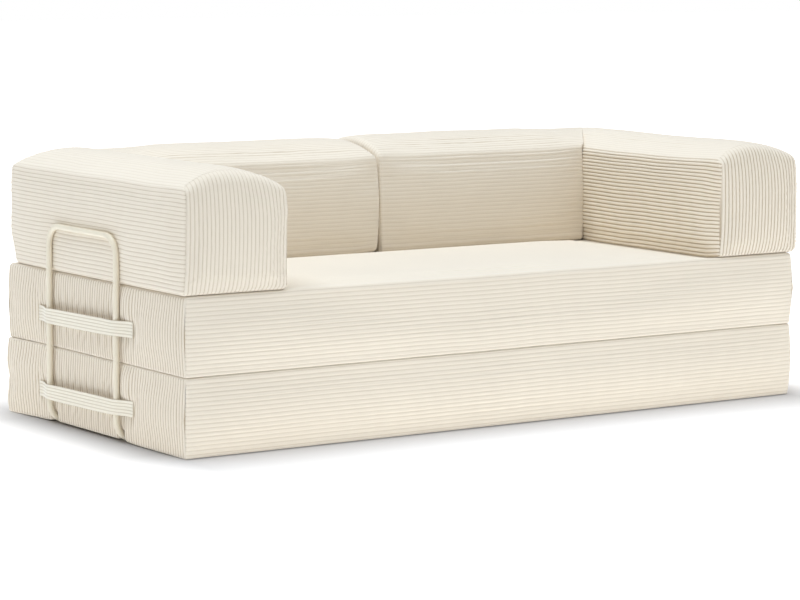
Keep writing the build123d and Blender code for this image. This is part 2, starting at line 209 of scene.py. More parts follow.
# Hinge cloth in the front crease, and the sheet under the base
HINGE_TIP = 3 * MM
HINGE_ROOT = 13 * MM
HINGE_RISE = 1.8 * MM
HINGE_THICKNESS = 0.8 * MM
HINGE_POINTS = 11
HINGE_FULLNESS = 0.7
DOT_PITCH = 30 * MM
DOT_RADIUS = 3 * MM
DOT_HEIGHT = 0.5 * MM
DOT_SIDES = 8
DOT_FOOT = 0.6

# Cloth simulation: the covers swell where nothing holds them
SIM_VOXEL = 24 * MM
SIM_PRESSURE = 4.0
SIM_SLACK = -0.004
SIM_FRAMES = 20
SIM_CAP = 6 * MM
SIM_CLEAR = 16 * MM
SIM_NEAREST = 6

# Camera: the photograph's frame is 800 by 600
IMAGE_WIDTH = 800
FOCAL_PIXELS = 2998
SENSOR_WIDTH = 36.0
CAMERA_PLACE = Vector((-4.731, -6.742, 1.307))
CAMERA_YAW = math.radians(34.89)
CAMERA_PITCH = math.radians(7.07)
CAMERA_ROLL = math.radians(0.43)

# Floor: its own colour, the darker one that the camera sees, and how far beyond the sofa it has turned to
# white; the glow that turns it white fades towards the sofa, a painted shade round it over its real shadow
FLOOR_SIZE = 60
FLOOR_COLOUR = (0.905, 0.92, 0.94, 1)
FLOOR_SEEN_COLOUR = (0.450, 0.430, 0.415, 1)
LIFT_SIDE = 0.22
LIFT_FRONT = 0.44
LIFT_BEFORE_FRONT = 0.12

# Light: a soft box overhead, an even sky, and what comes back off the studio's floor
WORLD_STRENGTH = 0.40
OVERHEAD_POWER = 740
OVERHEAD_PLACE = (-1.5, 0.2, 9.0)
OVERHEAD_SIZE = (9.0, 7.0)
OVERHEAD_TINT = (0.925, 1.02, 1.13)
BOUNCE_LEFT = 1.3
BOUNCE_RIGHT = 2.5
BOUNCE_FRONT = 1.95
BOUNCE_REAR = 2.35
BOUNCE_HALF_LENGTH = 4.0
BOUNCE_HALF_DEPTH = 3.5
BOUNCE_CLEARANCE = 0.004
BOUNCE_HEIGHT = 0.6 * MM

# Places that follow from the frame
base_low, base_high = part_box("base_cover")
arm_low, arm_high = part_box("arm_left_cover")
MATTRESS_LENGTH = base_high.x - base_low.x
MATTRESS_DEPTH = base_high.y - base_low.y
MATTRESS_HEIGHT = base_high.z - base_low.z
MIDDLE_Y = (base_low.y + base_high.y) / 2
END_X = base_high.x
BOLSTER_WIDTH = arm_high.x - arm_low.x
BOLSTER_HEIGHT = arm_high.z - arm_low.z
FRAME_NAMES = ("left", "right", "rear_left", "rear_right")
CUSHION_NAMES = ("base", "seat", "arm_left", "arm_right", "back_left", "back_right")
REAR_Y = base_high.y
FRONT_Y = base_low.y
TUBE_RADIUS = TUBE_DIAMETER / 2
NOTCH_HALF = TUBE_RADIUS + FOOT_ROOM


def arc(centre, radius, start, end):
    """Points of an arc, its angles in radians, counter-clockwise."""
    count = max(2, math.ceil(abs(end - start) * radius / OUTLINE_STEP))
    angles = np.linspace(start, end, count + 1)
    return np.column_stack([centre[0] + radius * np.cos(angles), centre[1] + radius * np.sin(angles)])


class Outline:
    """A closed cross-section, counter-clockwise from the middle of its bottom, read by distance along it."""

    def __init__(self, points, edge_radius, seam_angle):
        closed = np.vstack([points, points[:1]])
        steps = np.linalg.norm(np.diff(closed, axis=0), axis=1)
        closed = closed[np.concatenate([[True], steps > OUTLINE_STEP / 100])]
        self.places = np.concatenate([[0], np.cumsum(np.linalg.norm(np.diff(closed, axis=0), axis=1))])
        self.length = self.places[-1]
        self.closed = closed
        self.edge_radius = edge_radius
        self.seam_angle = seam_angle

    def at(self, distance):
        """Points at these distances along the outline."""
        wrapped = np.mod(distance, self.length)
        return np.stack([np.interp(wrapped, self.places, self.closed[:, k]) for k in (0, 1)], axis=-1)

    def normal(self, distance):
        """Outward directions at these distances."""
        along = self.at(distance + OUTLINE_STEP) - self.at(distance - OUTLINE_STEP)
        along /= np.linalg.norm(along, axis=-1, keepdims=True)
        return np.stack([along[..., 1], -along[..., 0]], axis=-1)


def by_direction(upward, side, top, bottom):
    """A value that turns from side to top or bottom as a surface faces up or down."""
    lift = np.clip(upward, 0, 1) ** 2
    drop = np.clip(-upward, 0, 1) ** 2
    return side + (top - side) * lift + (bottom - side) * drop


def mattress_outline(bottom_edge, top_edge):
    """Section of a layer across the sofa, with front and rear bowed outwards."""
    half_height = MATTRESS_HEIGHT / 2
    bow_radius = (half_height**2 + MATTRESS_BOW**2) / (2 * MATTRESS_BOW)
    bow_middle = MATTRESS_DEPTH / 2 - bow_radius

    def corner(edge):
        rise, run = half_height - edge, bow_radius - edge
        return bow_middle + math.sqrt(run**2 - rise**2), math.asin(rise / run)

    bottom_corner, bottom_lean = corner(bottom_edge)
    top_corner, top_lean = corner(top_edge)
    quarter = math.pi / 2
    right = np.vstack(
        [
            arc((bottom_corner, bottom_edge), bottom_edge, -quarter, -bottom_lean),
            arc((bow_middle, half_height), bow_radius, -bottom_lean, top_lean),
            arc((top_corner, MATTRESS_HEIGHT - top_edge), top_edge, top_lean, quarter),
        ]
    )
    left = right[::-1] * (-1, 1)
    points = np.vstack([[(0, 0)], right, left])
    return Outline(
        points,
        lambda upward: by_direction(upward, MATTRESS_END_EDGE, top_edge, bottom_edge),
        lambda upward: np.full_like(upward, SEAM_ANGLE),
    )


def bolster_outline(kind, end_top_edge=BOLSTER_END_TOP):
    """Section of a bolster, from its crisp outer side at 0 to its round inner side at its width."""
    inner_height, inner_shoulder = INNER_HEIGHT[kind], INNER_SHOULDER[kind]

    def shoulder(across, side_height, radius):
        drop = BOLSTER_HEIGHT - side_height
        dome = (across**2 + drop**2) / (2 * drop)
        rise = math.sqrt((dome - radius) ** 2 - (across - radius) ** 2)
        return dome, BOLSTER_HEIGHT - dome + rise, math.atan2(rise, across - radius)

    inner_dome, inner_z, inner_angle = shoulder(
        BOLSTER_WIDTH - RIDGE_FROM_OUTER, inner_height, inner_shoulder
    )
    outer_dome, outer_z, outer_angle = shoulder(RIDGE_FROM_OUTER, OUTER_HEIGHT, OUTER_SHOULDER)
    edge = BOLSTER_BOTTOM_EDGE
    half_turn = math.pi
    outer_start = half_turn - outer_angle
    points = np.vstack(
        [
            [(BOLSTER_WIDTH / 2, 0)],
            arc((BOLSTER_WIDTH - edge, edge), edge, -half_turn / 2, 0),
            arc((BOLSTER_WIDTH - inner_shoulder, inner_z), inner_shoulder, 0, inner_angle),
            arc((RIDGE_FROM_OUTER, BOLSTER_HEIGHT - inner_dome), inner_dome, inner_angle, half_turn / 2),
            arc((RIDGE_FROM_OUTER, BOLSTER_HEIGHT - outer_dome), outer_dome, half_turn / 2, outer_start),
            arc((OUTER_SHOULDER, outer_z), OUTER_SHOULDER, outer_start, half_turn),
            arc((edge, edge), edge, half_turn, 1.5 * half_turn),
        ]
    )
    return Outline(
        points,
        lambda upward: by_direction(upward, BOLSTER_END_SIDE, end_top_edge, BOLSTER_END_BOTTOM),
        lambda upward: by_direction(upward, SEAM_ANGLE, TOP_SEAM_ANGLE, SEAM_ANGLE),
    )


def bow_setback(bow, height, above):
    """How far a face bowed outwards lies behind its crown at a height above its lower edge."""
    half = height / 2
    radius = (half**2 + bow**2) / (2 * bow)
    return radius - np.sqrt(radius**2 - (np.clip(above, 0, height) - half) ** 2)


def smooth(share):
    share = np.clip(share, 0, 1)
    return share * share * (3 - 2 * share)


def wale_height(index):
    """Height of the cloth across its wales, from 0 in a valley to 1 on a crest."""
    return np.abs(np.sin(np.pi * index / POINTS_PER_WALE)) ** WALE_ROUNDNESS


def ripple(points, seed, size, height, waves=7):
    """A smooth unevenness over space, of about this size and height."""
    random = np.random.default_rng(seed)
    total = np.zeros(points.shape[:-1])
    for _ in range(waves):
        direction = random.normal(size=3)
        direction *= random.uniform(*RIPPLE_SPREAD) * 2 * np.pi / (size * np.linalg.norm(direction))
        total += np.sin(points @ direction + random.uniform(0, 2 * np.pi))
    return total * height / math.sqrt(waves)


def unevenness(points, direction, seed, uneven, low, top=None):
    """The foam's unevenness, fading out below and where another cushion lies on top."""
    free = smooth((points[..., 2] - low) / CONTACT_FADE)
    if top is not None:
        free = free * smooth((top - points[..., 2]) / CONTACT_FADE)
    return direction * (ripple(points, seed, *uneven) * free)[..., None]


@dataclass
class Cushion:
    """A cover in two kinds of panel: one wrapped round its length, and one on each end."""

    name: str
    outline: Outline
    length: float
    bow: float
    origin: tuple
    axes: tuple
    soft: object
    seed: int
    ribs: tuple
    zip_height: float = 0
    lap: object = None
    lap_end: int = 0

    def __post_init__(self):
        self.axes = np.array(self.axes, float)
        self.height = self.outline.closed[:, 1].max()
        self.turned = np.linalg.det(self.axes) < 0

    def reach(self, above, end):
        """How far the end's face stands from the cushion's middle at a height above its bottom."""
        plain = self.length / 2 - bow_setback(self.bow, self.height, above)
        if self.lap is None:
            return plain
        return plain + (self.lap(above) + bow_setback(self.bow, self.height, above)) * (end == self.lap_end)

    def outline_at(self, end):
        """The section at an end: tighter top edges on a back, over an arm and beside the other back."""
        if self.lap is None or end == 0:
            return self.outline
        return lapped_section if end == self.lap_end else middle_section

    def place(self, along, across, above):
        local = np.stack([along, across, above], axis=-1)
        return self.origin + local @ self.axes

    def normals(self, points, closed):
        """Outward directions of a grid of points: rows along the first index, round it along the second."""
        down = np.gradient(points, axis=0)
        if closed:
            across = np.roll(points, -1, axis=1) - np.roll(points, 1, axis=1)
        else:
            across = np.gradient(points, axis=1)
        normal = np.cross(across, down)
        return normal / np.maximum(np.linalg.norm(normal, axis=-1, keepdims=True), 1e-12)

    def wrap(self):
        """The panel round the cushion's length: its grid, and each point's place on the cloth."""
        outline = self.outline
        wales = round(outline.length / self.ribs[0].pitch)
        columns = wales * POINTS_PER_WALE
        spots = np.arange(columns) / columns * outline.length
        middle_rows = math.ceil(self.length / ROW_SPACING)
        rows = [("arc", -1, 1 + SEAM_TUCK)]
        rows += [("arc", -1, step / ARC_ROWS) for step in range(ARC_ROWS, 0, -1)]
        rows += [("middle", 0, share) for share in np.linspace(-1, 1, middle_rows + 1)]
        rows += [("arc", 1, step / ARC_ROWS) for step in range(1, ARC_ROWS + 1)]
        rows += [("arc", 1, 1 + SEAM_TUCK)]
        grid, cloth = [], []
        for kind, end, share in rows:
            there = np.stack([spots, np.full(columns, share), np.zeros(columns)], axis=-1)
            waver = ripple(there, self.seed, WALE_WAVER_SIZE, WALE_WAVER)
            distance = spots + waver * (kind == "middle") * (1 - share**4)
            points = outline.at(distance)
            normal = outline.normal(distance)
            radius = self.outline_at(end or np.sign(share)).edge_radius(normal[:, 1])
            if kind == "middle":
                along = share * (self.reach(points[:, 1], np.sign(share)) - radius)
            else:
                turn = outline.seam_angle(normal[:, 1]) * min(share, 1)
                tuck = SEAM_TUCK if share > 1 else 0
                inset = radius * (1 - np.cos(turn)) + tuck
                reach = self.reach(points[:, 1], end) - (SEAM_TUCK_BACK if share > 1 else 0)
                along = end * (reach - radius * (1 - np.sin(turn)))
                points = points - normal * inset[:, None]
            grid.append(self.place(along, points[:, 0], points[:, 1]))
            cloth.append(np.stack([along, spots, wale_height(np.arange(columns))], axis=-1))
        return np.array(grid), np.array(cloth), True

    def end(self, side):
        """The panel on one end, its wales upright."""
        outline = self.outline_at(side)
        spots = np.linspace(0, outline.length, math.ceil(outline.length / RIM_STEP), endpoint=False)
        rim, normal = outline.at(spots), outline.normal(spots)
        radius = outline.edge_radius(normal[:, 1])
        seam = rim - normal * (radius * (1 - np.cos(outline.seam_angle(normal[:, 1]))))[:, None]
        left, right = np.argmin(seam[:, 0]), np.argmax(seam[:, 0])
        lower = seam[np.r_[left : len(seam), 0 : right + 1]]
        upper = seam[right : left + 1][::-1]
        width = seam[right, 0] - seam[left, 0]
        wales = round(width / self.ribs[1].pitch)
        columns = wales * POINTS_PER_WALE
        shares = np.linspace(0, 1, columns + 1)
        across = seam[left, 0] + width * shares
        low = np.interp(across, lower[:, 0], lower[:, 1])
        high = np.interp(across, upper[:, 0], upper[:, 1])
        steps = self.end_rows()
        above = low + (high - low) * steps[:, None]
        across = np.broadcast_to(across, above.shape)
        flat = np.stack([across, above], axis=-1).reshape(-1, 2)
        nearest = np.array([np.argmin(((rim - point) ** 2).sum(axis=1)) for point in flat])
        gap = np.linalg.norm(flat - rim[nearest], axis=1).reshape(above.shape)
        rim_radius = radius[nearest].reshape(above.shape)
        inward = np.clip(rim_radius - gap, 0, None)
        setback = rim_radius - np.sqrt(np.clip(rim_radius**2 - inward**2, 0, None))
        along = side * (self.reach(above, side) - setback)
        grid = self.place(along, across, above)
        height = np.broadcast_to(wale_height(np.arange(columns + 1)), above.shape)
        cloth = np.stack([above, across, height], axis=-1)
        inwards = -side * SEAM_TUCK * self.axes[0]
        grid = np.concatenate([grid[:1] + inwards, grid, grid[-1:] + inwards])
        grid = np.concatenate([grid[:, :1] + inwards, grid, grid[:, -1:] + inwards], axis=1)
        cloth = np.pad(cloth, ((1, 1), (1, 1), (0, 0)), mode="edge")
        return grid, cloth, False

    def end_rows(self):
        """Rows of an end panel as shares of its height, closer together towards its edges."""
        count = max(END_ROWS_LEAST, math.ceil(self.height / END_ROW_SPACING))
        even = np.linspace(0, 1, count + 1)
        rows = END_ROWS_EVEN * even + (1 - END_ROWS_EVEN) * (1 - np.cos(np.pi * even)) / 2
        if self.zip_height:
            slot = self.zip_height + np.linspace(-1, 1, SLOT_ROWS) * (ZIP_SLOT_HALF + ZIP_LIP)
            rows = np.concatenate([rows, slot / self.height])
        return np.sort(rows)

    def panel(self, grid, cloth, closed, flip):
        """One panel's points with the cushion's soft shape and its wales, its faces, and its cloth places
        with the painted shade of their valleys.
        """
        direction = self.normals(grid, closed) * (-1 if flip else 1)
        grid = grid + self.soft(grid, direction)
        direction = self.normals(grid, closed) * (-1 if flip else 1)
        ribs = self.ribs[0 if closed else 1]
        valley = 1 - cloth[..., 2:]
        upward = smooth((direction[..., 2:] - TOP_FROM) / (TOP_FULLY - TOP_FROM))
        grid = grid - direction * valley * (ribs.depth + (min(TOP_DEPTH, ribs.depth) - ribs.depth) * upward)
        # Painted shade: the valleys' colour is darkened by this share, one on sides and another on tops, for
        # the shade in the grooves
        contrast = ribs.contrast + (ribs.top_contrast - ribs.contrast) * upward
        cloth = np.concatenate([cloth[..., :2], 1 - contrast * valley], axis=-1)
        rows, columns = grid.shape[:2]
        index = np.arange(rows * columns).reshape(rows, columns)
        beside = np.roll(index, -1, axis=1) if closed else index[:, 1:]
        here = index if closed else index[:, :-1]
        quads = np.stack([here[:-1], beside[:-1], beside[1:], here[1:]], axis=-1).reshape(-1, 4)
        if flip:
            quads = quads[:, ::-1]
        return grid.reshape(-1, 3), quads, cloth.reshape(-1, 3)

    def build(self):
        """The whole cover as one mesh object."""
        points, faces, cloth = [], [], []
        count = 0
        for grid, places, closed, flip in (
            (*self.wrap(), self.turned),
            (*self.end(1), self.turned),
            (*self.end(-1), not self.turned),
        ):
            panel_points, quads, panel_cloth = self.panel(grid, places, closed, flip)
            points.append(panel_points)
            faces.append(quads + count)
            cloth.append(panel_cloth)
            count += len(panel_points)
        return mesh_object(f"{self.name}_ribbed_cover", *(np.vstack(rows) for rows in (points, faces, cloth)))


def mesh_object(name, points, faces, cloth=None, smooth_shading=True):
    """A mesh object of these points and faces, with each point's place on its cloth, whose third value
    carries the painted shade of the valleys.
    """
    mesh = bpy.data.meshes.new(name)
    faces = faces.tolist() if isinstance(faces, np.ndarray) else faces
    mesh.from_pydata(np.asarray(points).tolist(), [], faces)
    mesh.update()
    if cloth is not None:
        attribute = mesh.attributes.new("cloth", "FLOAT_VECTOR", "POINT")
        attribute.data.foreach_set("vector", np.asarray(cloth, np.float32).ravel())
    if smooth_shading:
        mesh.shade_smooth()
    piece = bpy.data.objects.new(name, mesh)
    bpy.context.scene.collection.objects.link(piece)
    return piece


class FramePlace:
    """Where a tube frame stands: the middle of its foot line on the face that it leans on."""

    def __init__(self, name):
        low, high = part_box(f"frame_{name}_tube")
        middle = (low + high) / 2
        if name.startswith("rear"):
            origin, outward, along = (middle.x, REAR_Y, 0), (0, 1, 0), (1, 0, 0)
            self.spacing = high.x - low.x - TUBE_DIAMETER
        else:
            side = -1 if name == "left" else 1
            origin, outward, along = (side * END_X, middle.y, 0), (side, 0, 0), (0, 1, 0)
            self.spacing = high.y - low.y - TUBE_DIAMETER
        self.origin, self.outward, self.along = np.array([origin, outward, along], float)

    def local(self, points):
        """How far points lie outside the face and along it."""
        offset = points - self.origin
        return offset @ self.outward, offset @ self.along

    def world(self, away, along, height):
        return (
            self.origin
            + np.multiply.outer(away, self.outward)
            + np.multiply.outer(along, self.along)
            + np.multiply.outer(height, (0.0, 0.0, 1.0))
        )


frame_places = {name: FramePlace(name) for name in FRAME_NAMES}


def foot_reach(name):
    """How far a frame's feet reach in under the base from its face."""
    place = frame_places[name]
    corners = np.array([corner[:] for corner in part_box(f"frame_{name}_end_caps")])
    return -place.local(corners)[0].min()


def press_feet(points):
    """The bottom edge lifted and drawn in over the frames' feet, so that each lies in a soft channel."""
    shift = np.zeros_like(points)
    keep = FOOT_BEND - TUBE_RADIUS - FOOT_ROOM
    for name, place in frame_places.items():
        away, along = place.local(points)
        inward = -away
        bend_in = FOOT_BEND - TUBE_RADIUS - TUBE_GAP
        bend_up = FOOT_BEND + TUBE_RADIUS
        past_bend = np.minimum(inward - bend_in, 0)
        drop = np.minimum(points[..., 2] - bend_up, 0)
        reach = np.hypot(past_bend, drop)
        push = np.clip(1 - keep / np.maximum(reach, keep), 0, 1)
        under = 1 - smooth((inward - foot_reach(name)) / FOOT_SOFTNESS)
        for side in (-1, 1):
            beside = np.abs(along - side * place.spacing / 2)
            weight = (1 - smooth((beside - TUBE_RADIUS - FOOT_ROOM) / FOOT_SOFTNESS)) * under
            shift -= np.multiply.outer(-past_bend * push * weight, place.outward)
            shift[..., 2] -= drop * push * weight
        between = 1 - smooth((np.abs(along) - place.spacing / 2) / FOOT_LIFT_DEPTH)
        near = smooth(1 - inward / FOOT_LIFT_DEPTH) * smooth(1 - points[..., 2] / FOOT_LIFT_HEIGHT)
        shift[..., 2] += FOOT_LIFT * between * near
    return shift


def strap_pull(points, direction, strap_height, top):
    """A layer's side drawn in under a strap, pressed by the legs and bulging beside them."""
    total = np.zeros(points.shape[:-1])
    for index, place in enumerate(frame_places.values()):
        facing = np.clip(direction @ place.outward, 0, 1)
        away, along = place.local(points)
        near = (np.abs(away) < 2 * STRAP_HEIGHT) * facing
        half = place.spacing / 2
        span = 1 - smooth((np.abs(along) - half - STRAP_HEIGHT) / (2 * STRAP_HEIGHT))
        above = points[..., 2] - strap_height
        total -= near * STRAP_PINCH * span * np.exp(-((above / STRAP_PINCH_HEIGHT) ** 2))
        waver = ripple(points, PUCKER_SEED + index, *PUCKER_WAVER)
        pleat = np.sin(2 * np.pi * (along + waver) / PUCKER_PITCH)
        beyond = np.clip(np.abs(above) - STRAP_HEIGHT / 2, 0, None)
        total += near * PUCKER_DEPTH * pleat * span * np.exp(-((beyond / PUCKER_REACH) ** 2))
        higher = smooth(above / STRAP_HEIGHT) * smooth((top - points[..., 2]) / STRAP_PINCH_HEIGHT)
        for side in (-1, 1):
            leg = np.exp(-(((along - side * half) / TUBE_RADIUS) ** 2))
            beside = (along - side * (half + LEG_BULGE_WIDTH)) / LEG_BULGE_WIDTH
            full = side * place.outward[0] > 0
            strength = 1 if full else LEG_BULGE_ELSEWHERE + LEG_BULGE_STEP * index
            total += near * (LEG_BULGE * strength * higher * np.exp(-(beside**2)) - LEG_PRESS * leg)
    return direction * total[..., None]


def zip_slot(name, points, direction):
    """The slot that a cushion's zip lies in, on its rear face."""
    low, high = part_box(f"{name}_zip")
    middle_z = (low.z + high.z) / 2
    across = 1 - smooth((np.abs(points[..., 2] - middle_z) - ZIP_SLOT_HALF) / ZIP_LIP)
    half = (high.x - low.x) / 2
    along = 1 - smooth((np.abs(points[..., 0] - (low.x + high.x) / 2) - half) / ZIP_LIP)
    behind = (direction[..., 1] > FACES_REAR) & (points[..., 1] > low.y - ZIP_LIP)
    shift = np.zeros_like(points)
    shift[..., 1] = (low.y - ZIP_BACK_ROOM - points[..., 1]) * across * along * behind
    return np.minimum(shift, 0)


def corner_push(name, points, strap_height):
    """How far the rear corners stand out beyond the ends, less where the straps draw them in."""
    behind = smooth((points[..., 1] - (REAR_Y - CORNER_PUSH_LENGTH)) / CORNER_PUSH_LENGTH)
    near = smooth((np.abs(points[..., 0]) - END_X) / CORNER_PUSH_LENGTH + 1)
    drawn = 1 - CORNER_DRAWN * np.exp(-(((points[..., 2] - strap_height) / STRAP_PINCH_HEIGHT) ** 2))
    return CORNER_PUSH[name] * behind * near * drawn * np.sign(points[..., 0])


def seat_dip(points):
    """How far the seat sinks along the inner edges of the bolsters on it."""
    to_arm = END_X - BOLSTER_WIDTH - np.abs(points[..., 0])
    to_back = REAR_Y - BOLSTER_WIDTH - points[..., 1]
    inside = np.minimum(to_arm, to_back)
    outside = np.hypot(np.minimum(to_arm, 0), np.minimum(to_back, 0))
    off_edge = np.where(inside > 0, inside, outside)
    from_front = smooth((points[..., 1] - FRONT_Y) / SEAT_DIP_WIDTH)
    return SEAT_DIP * np.exp(-((off_edge / SEAT_DIP_WIDTH) ** 2)) * from_front


def seat_crown(points, direction):
    """The open seat's shallow rise between the arms and in front of the backs."""
    half_width = END_X - BOLSTER_WIDTH - CROWN_MARGIN
    front, rear = FRONT_Y + CROWN_MARGIN, REAR_Y - BOLSTER_WIDTH - CROWN_MARGIN
    sideways = np.clip(1 - (points[..., 0] / half_width) ** 2, 0, 1)
    lengthways = (points[..., 1] - (front + rear) / 2) / ((rear - front) / 2)
    rise = SEAT_CROWN * smooth(2 * sideways) * smooth(2 * np.clip(1 - lengthways**2, 0, 1))
    return direction * (rise * (direction[..., 2] > FACES_UP))[..., None]


def mattress_soft(name, seed):
    """A layer's soft shape: uneven foam, drawn in by its straps and lifted over the frames' feet."""
    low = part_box(f"{name}_cover")[0].z
    top = low + MATTRESS_HEIGHT
    strap_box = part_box(f"strap_left_{'lower' if name == 'base' else 'upper'}")
    strap_height = (strap_box[0].z + strap_box[1].z) / 2

    def soft(points, direction):
        shift = unevenness(points, direction, seed, LAYER_UNEVEN, low, top)
        shift += strap_pull(points, direction, strap_height, top)
        shift += zip_slot(name, points, direction)
        shift[..., 0] += corner_push(name, points, strap_height)
        if name == "base":
            shift += press_feet(points)
        else:
            shift += seat_crown(points, direction)
            shift[..., 2] -= seat_dip(points) * smooth(1 - (top - points[..., 2]) / SEAT_DIP_HEIGHT)
        return shift

    return soft


def seat_side_recess(heights, crisp):
    """How far an arm's seat side lies behind its upright face at heights above the bolster's bottom."""
    section = bolster_sections["arm_right" if crisp else "arm_left"].closed
    upper = section[section[:, 1] > BOLSTER_HEIGHT / 2]
    if crisp:
        side = upper[upper[:, 0] <= RIDGE_FROM_OUTER]
        depth = side[:, 0]
    else:
        side = upper[upper[:, 0] >= RIDGE_FROM_OUTER]
        depth = BOLSTER_WIDTH - side[:, 0]
    order = np.argsort(side[:, 1])
    return np.interp(heights, side[order, 1], depth[order])


def back_top(behind_ridge):
    """Height of a back's top above its bottom, at distances behind its ridge."""
    section = bolster_sections["back"].closed
    side = section[(section[:, 0] <= RIDGE_FROM_OUTER) & (section[:, 1] > BOLSTER_HEIGHT / 2)]
    order = np.argsort(side[:, 0])
    return np.interp(RIDGE_FROM_OUTER - behind_ridge, side[order, 0], side[order, 1])


def sunk(above):
    """The share of a sag that reaches a height above a bolster's bottom: all of it at the top."""
    return smooth(2 * above / BOLSTER_HEIGHT - 1)


def arm_bulge(name, points, low):
    """How far an arm's two sides stand out to the sofa's right, from its seat side to its free side."""
    above = points[..., 2] - low.z
    across = np.clip((points[..., 0] - low.x) / BOLSTER_WIDTH, 0, 1)
    falling = smooth((above / BOLSTER_HEIGHT - BULGE_FALLS_FROM) / (1 - BULGE_FALLS_FROM))
    upright = smooth(above / BULGE_FOOT + 0.5) * (1 - (1 - BULGE_AT_TOP) * falling)
    if name == "arm_left":
        free = 1 - smooth((points[..., 1] - (REAR_Y - BOLSTER_WIDTH - BULGE_FADE)) / BULGE_FADE)
        return SEAT_SIDE_BULGE * across * upright * free
    frame_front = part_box("frame_right_tube")[0].y
    free = 1 - smooth((points[..., 1] - (frame_front - BULGE_FADE)) / BULGE_FADE)
    from_back = (points[..., 1] - (REAR_Y - BOLSTER_WIDTH)) / CORNER_DENT_LENGTH
    dent = CORNER_DENT * np.exp(-(from_back**2))
    return (RIGHT_ARM_SET_BACK + dent) * (1 - across) + FREE_SIDE_BULGE * across * upright * free


def arm_soft(name, seed):
    """An arm's soft shape: bulging sides, a rear end that falls away as the backs do, a drawn-in corner."""
    low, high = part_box(f"{name}_cover")

    def soft(points, direction):
        shift = unevenness(points, direction, seed, ARM_UNEVEN, low.z)
        shift[..., 0] += arm_bulge(name, points, low)
        above = points[..., 2] - low.z
        shift[..., 2] -= seat_dip(points) * smooth(1 - above / SEAT_DIP_HEIGHT)
        towards_rear = smooth((points[..., 1] - low.y) / ARM_SAG_LENGTH)
        sag = ARM_SAG_FRONT[name] * (1 - towards_rear) + ARM_SAG_REAR[name] * towards_rear
        shift[..., 2] -= sag * sunk(above)
        drawn = smooth(1 - above / REAR_DRAWN_HEIGHT)
        drawn = drawn * smooth(1 - (high.y - points[..., 1]) / REAR_DRAWN_LENGTH)
        shift[..., 1] -= REAR_DRAWN_IN * drawn * (1 - zip_zone(name, points))
        ridge_y = REAR_Y - RIDGE_FROM_OUTER
        limit = low.z + back_top(np.clip(points[..., 1] - ridge_y, 0, RIDGE_FROM_OUTER))
        excess = (points[..., 2] - limit) / HIP_BLEND
        behind = smooth((points[..., 1] - ridge_y) / (2 * BULGE_FOOT))
        shift[..., 2] -= HIP_BLEND * np.logaddexp(excess, 0) * behind
        return shift + zip_slot(name, points, direction)

    return soft


def zip_zone(name, points):
    """1 around a cushion's zip, where the cover keeps its place."""
    low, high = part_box(f"{name}_zip")
    middle = (low.x + high.x) / 2
    return 1 - smooth((np.abs(points[..., 0] - middle) - (high.x - low.x) / 2) / (2 * ZIP_SLOT_HALF))


def back_lap(name):
    """How far a back's outer end reaches over the arm beside it, by height above its bottom."""
    crisp = name == "back_right"
    set_back = RIGHT_ARM_SET_BACK + CORNER_DENT if crisp else 0
    return lambda above: seat_side_recess(above, crisp) + set_back


def back_soft(name, seed):
    """A back's soft shape: the left one stands a little forward and lifts in the middle of the sofa."""
    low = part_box(f"{name}_cover")[0]
    forward = BACK_FORWARD if name == "back_left" else 0

    def soft(points, direction):
        shift = unevenness(points, direction, seed, BACK_UNEVEN, low.z)
        end = smooth(1 - np.abs(points[..., 0]) / BACK_END_LENGTH)
        front = smooth((REAR_Y - BOLSTER_WIDTH / 2 - points[..., 1]) / (BOLSTER_WIDTH / 2))
        above = points[..., 2] - low.z
        falling = smooth((above / BOLSTER_HEIGHT - BACK_BULGE_FALLS_FROM) / (1 - BACK_BULGE_FALLS_FROM))
        upright = smooth(above / BULGE_FOOT + 0.5) * (1 - falling)
        shift[..., 1] -= (forward * end + BACK_BULGE * upright) * front
        shift[..., 2] -= seat_dip(points) * smooth(1 - above / SEAT_DIP_HEIGHT)
        bottom = smooth(1 - above / BACK_LIFT_HEIGHT)
        corner = smooth(1 - np.abs(points[..., 0]) / BACK_LIFT_LENGTH)
        shift[..., 2] += BACK_LIFT * bottom * corner * front * (forward > 0)
        shift[..., 2] -= BACK_SAG[name] * sunk(above)
        return shift + zip_slot(name, points, direction)

    return soft


layer_sections = {
    "base": mattress_outline(BASE_BOTTOM_EDGE, CREASE_EDGE),
    "seat": mattress_outline(CREASE_EDGE, SEAT_TOP_EDGE),
}
bolster_sections = {kind: bolster_outline(kind) for kind in INNER_HEIGHT}
lapped_section = bolster_outline("back", LAPPED_END_EDGE)
middle_section = bolster_outline("back", MIDDLE_END_TOP)

# Which way a cushion lies: its length, the way across it, and up
ALONG_X = ((1, 0, 0), (0, 1, 0), (0, 0, 1))
ALONG_Y = ((0, 1, 0), (1, 0, 0), (0, 0, 1))
ALONG_X_TURNED = ((1, 0, 0), (0, -1, 0), (0, 0, 1))


def layer(name, seed):
    """The base or the seat."""
    origin = (0, MIDDLE_Y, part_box(f"{name}_cover")[0].z)
    ribs = (LAYER_RIBS, LAYER_END_RIBS)
    soft = mattress_soft(name, seed)
    section = layer_sections[name]
    return Cushion(name, section, MATTRESS_LENGTH, MATTRESS_BOW, origin, ALONG_X, soft, seed, ribs)


def arm(side, seed):
    """The bolster on the sofa's left or right end."""
    name = f"arm_{side}"
    low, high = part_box(f"{name}_cover")
    zip_low, zip_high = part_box(f"{name}_zip")
    return Cushion(
        name,
        bolster_sections[name],
        high.y - low.y,
        BOLSTER_END_BOW,
        (low.x, (low.y + high.y) / 2, low.z),
        ALONG_Y,
        arm_soft(name, seed),
        seed,
        ARM_RIBS[side],
        zip_height=(zip_low.z + zip_high.z) / 2 - low.z,
    )


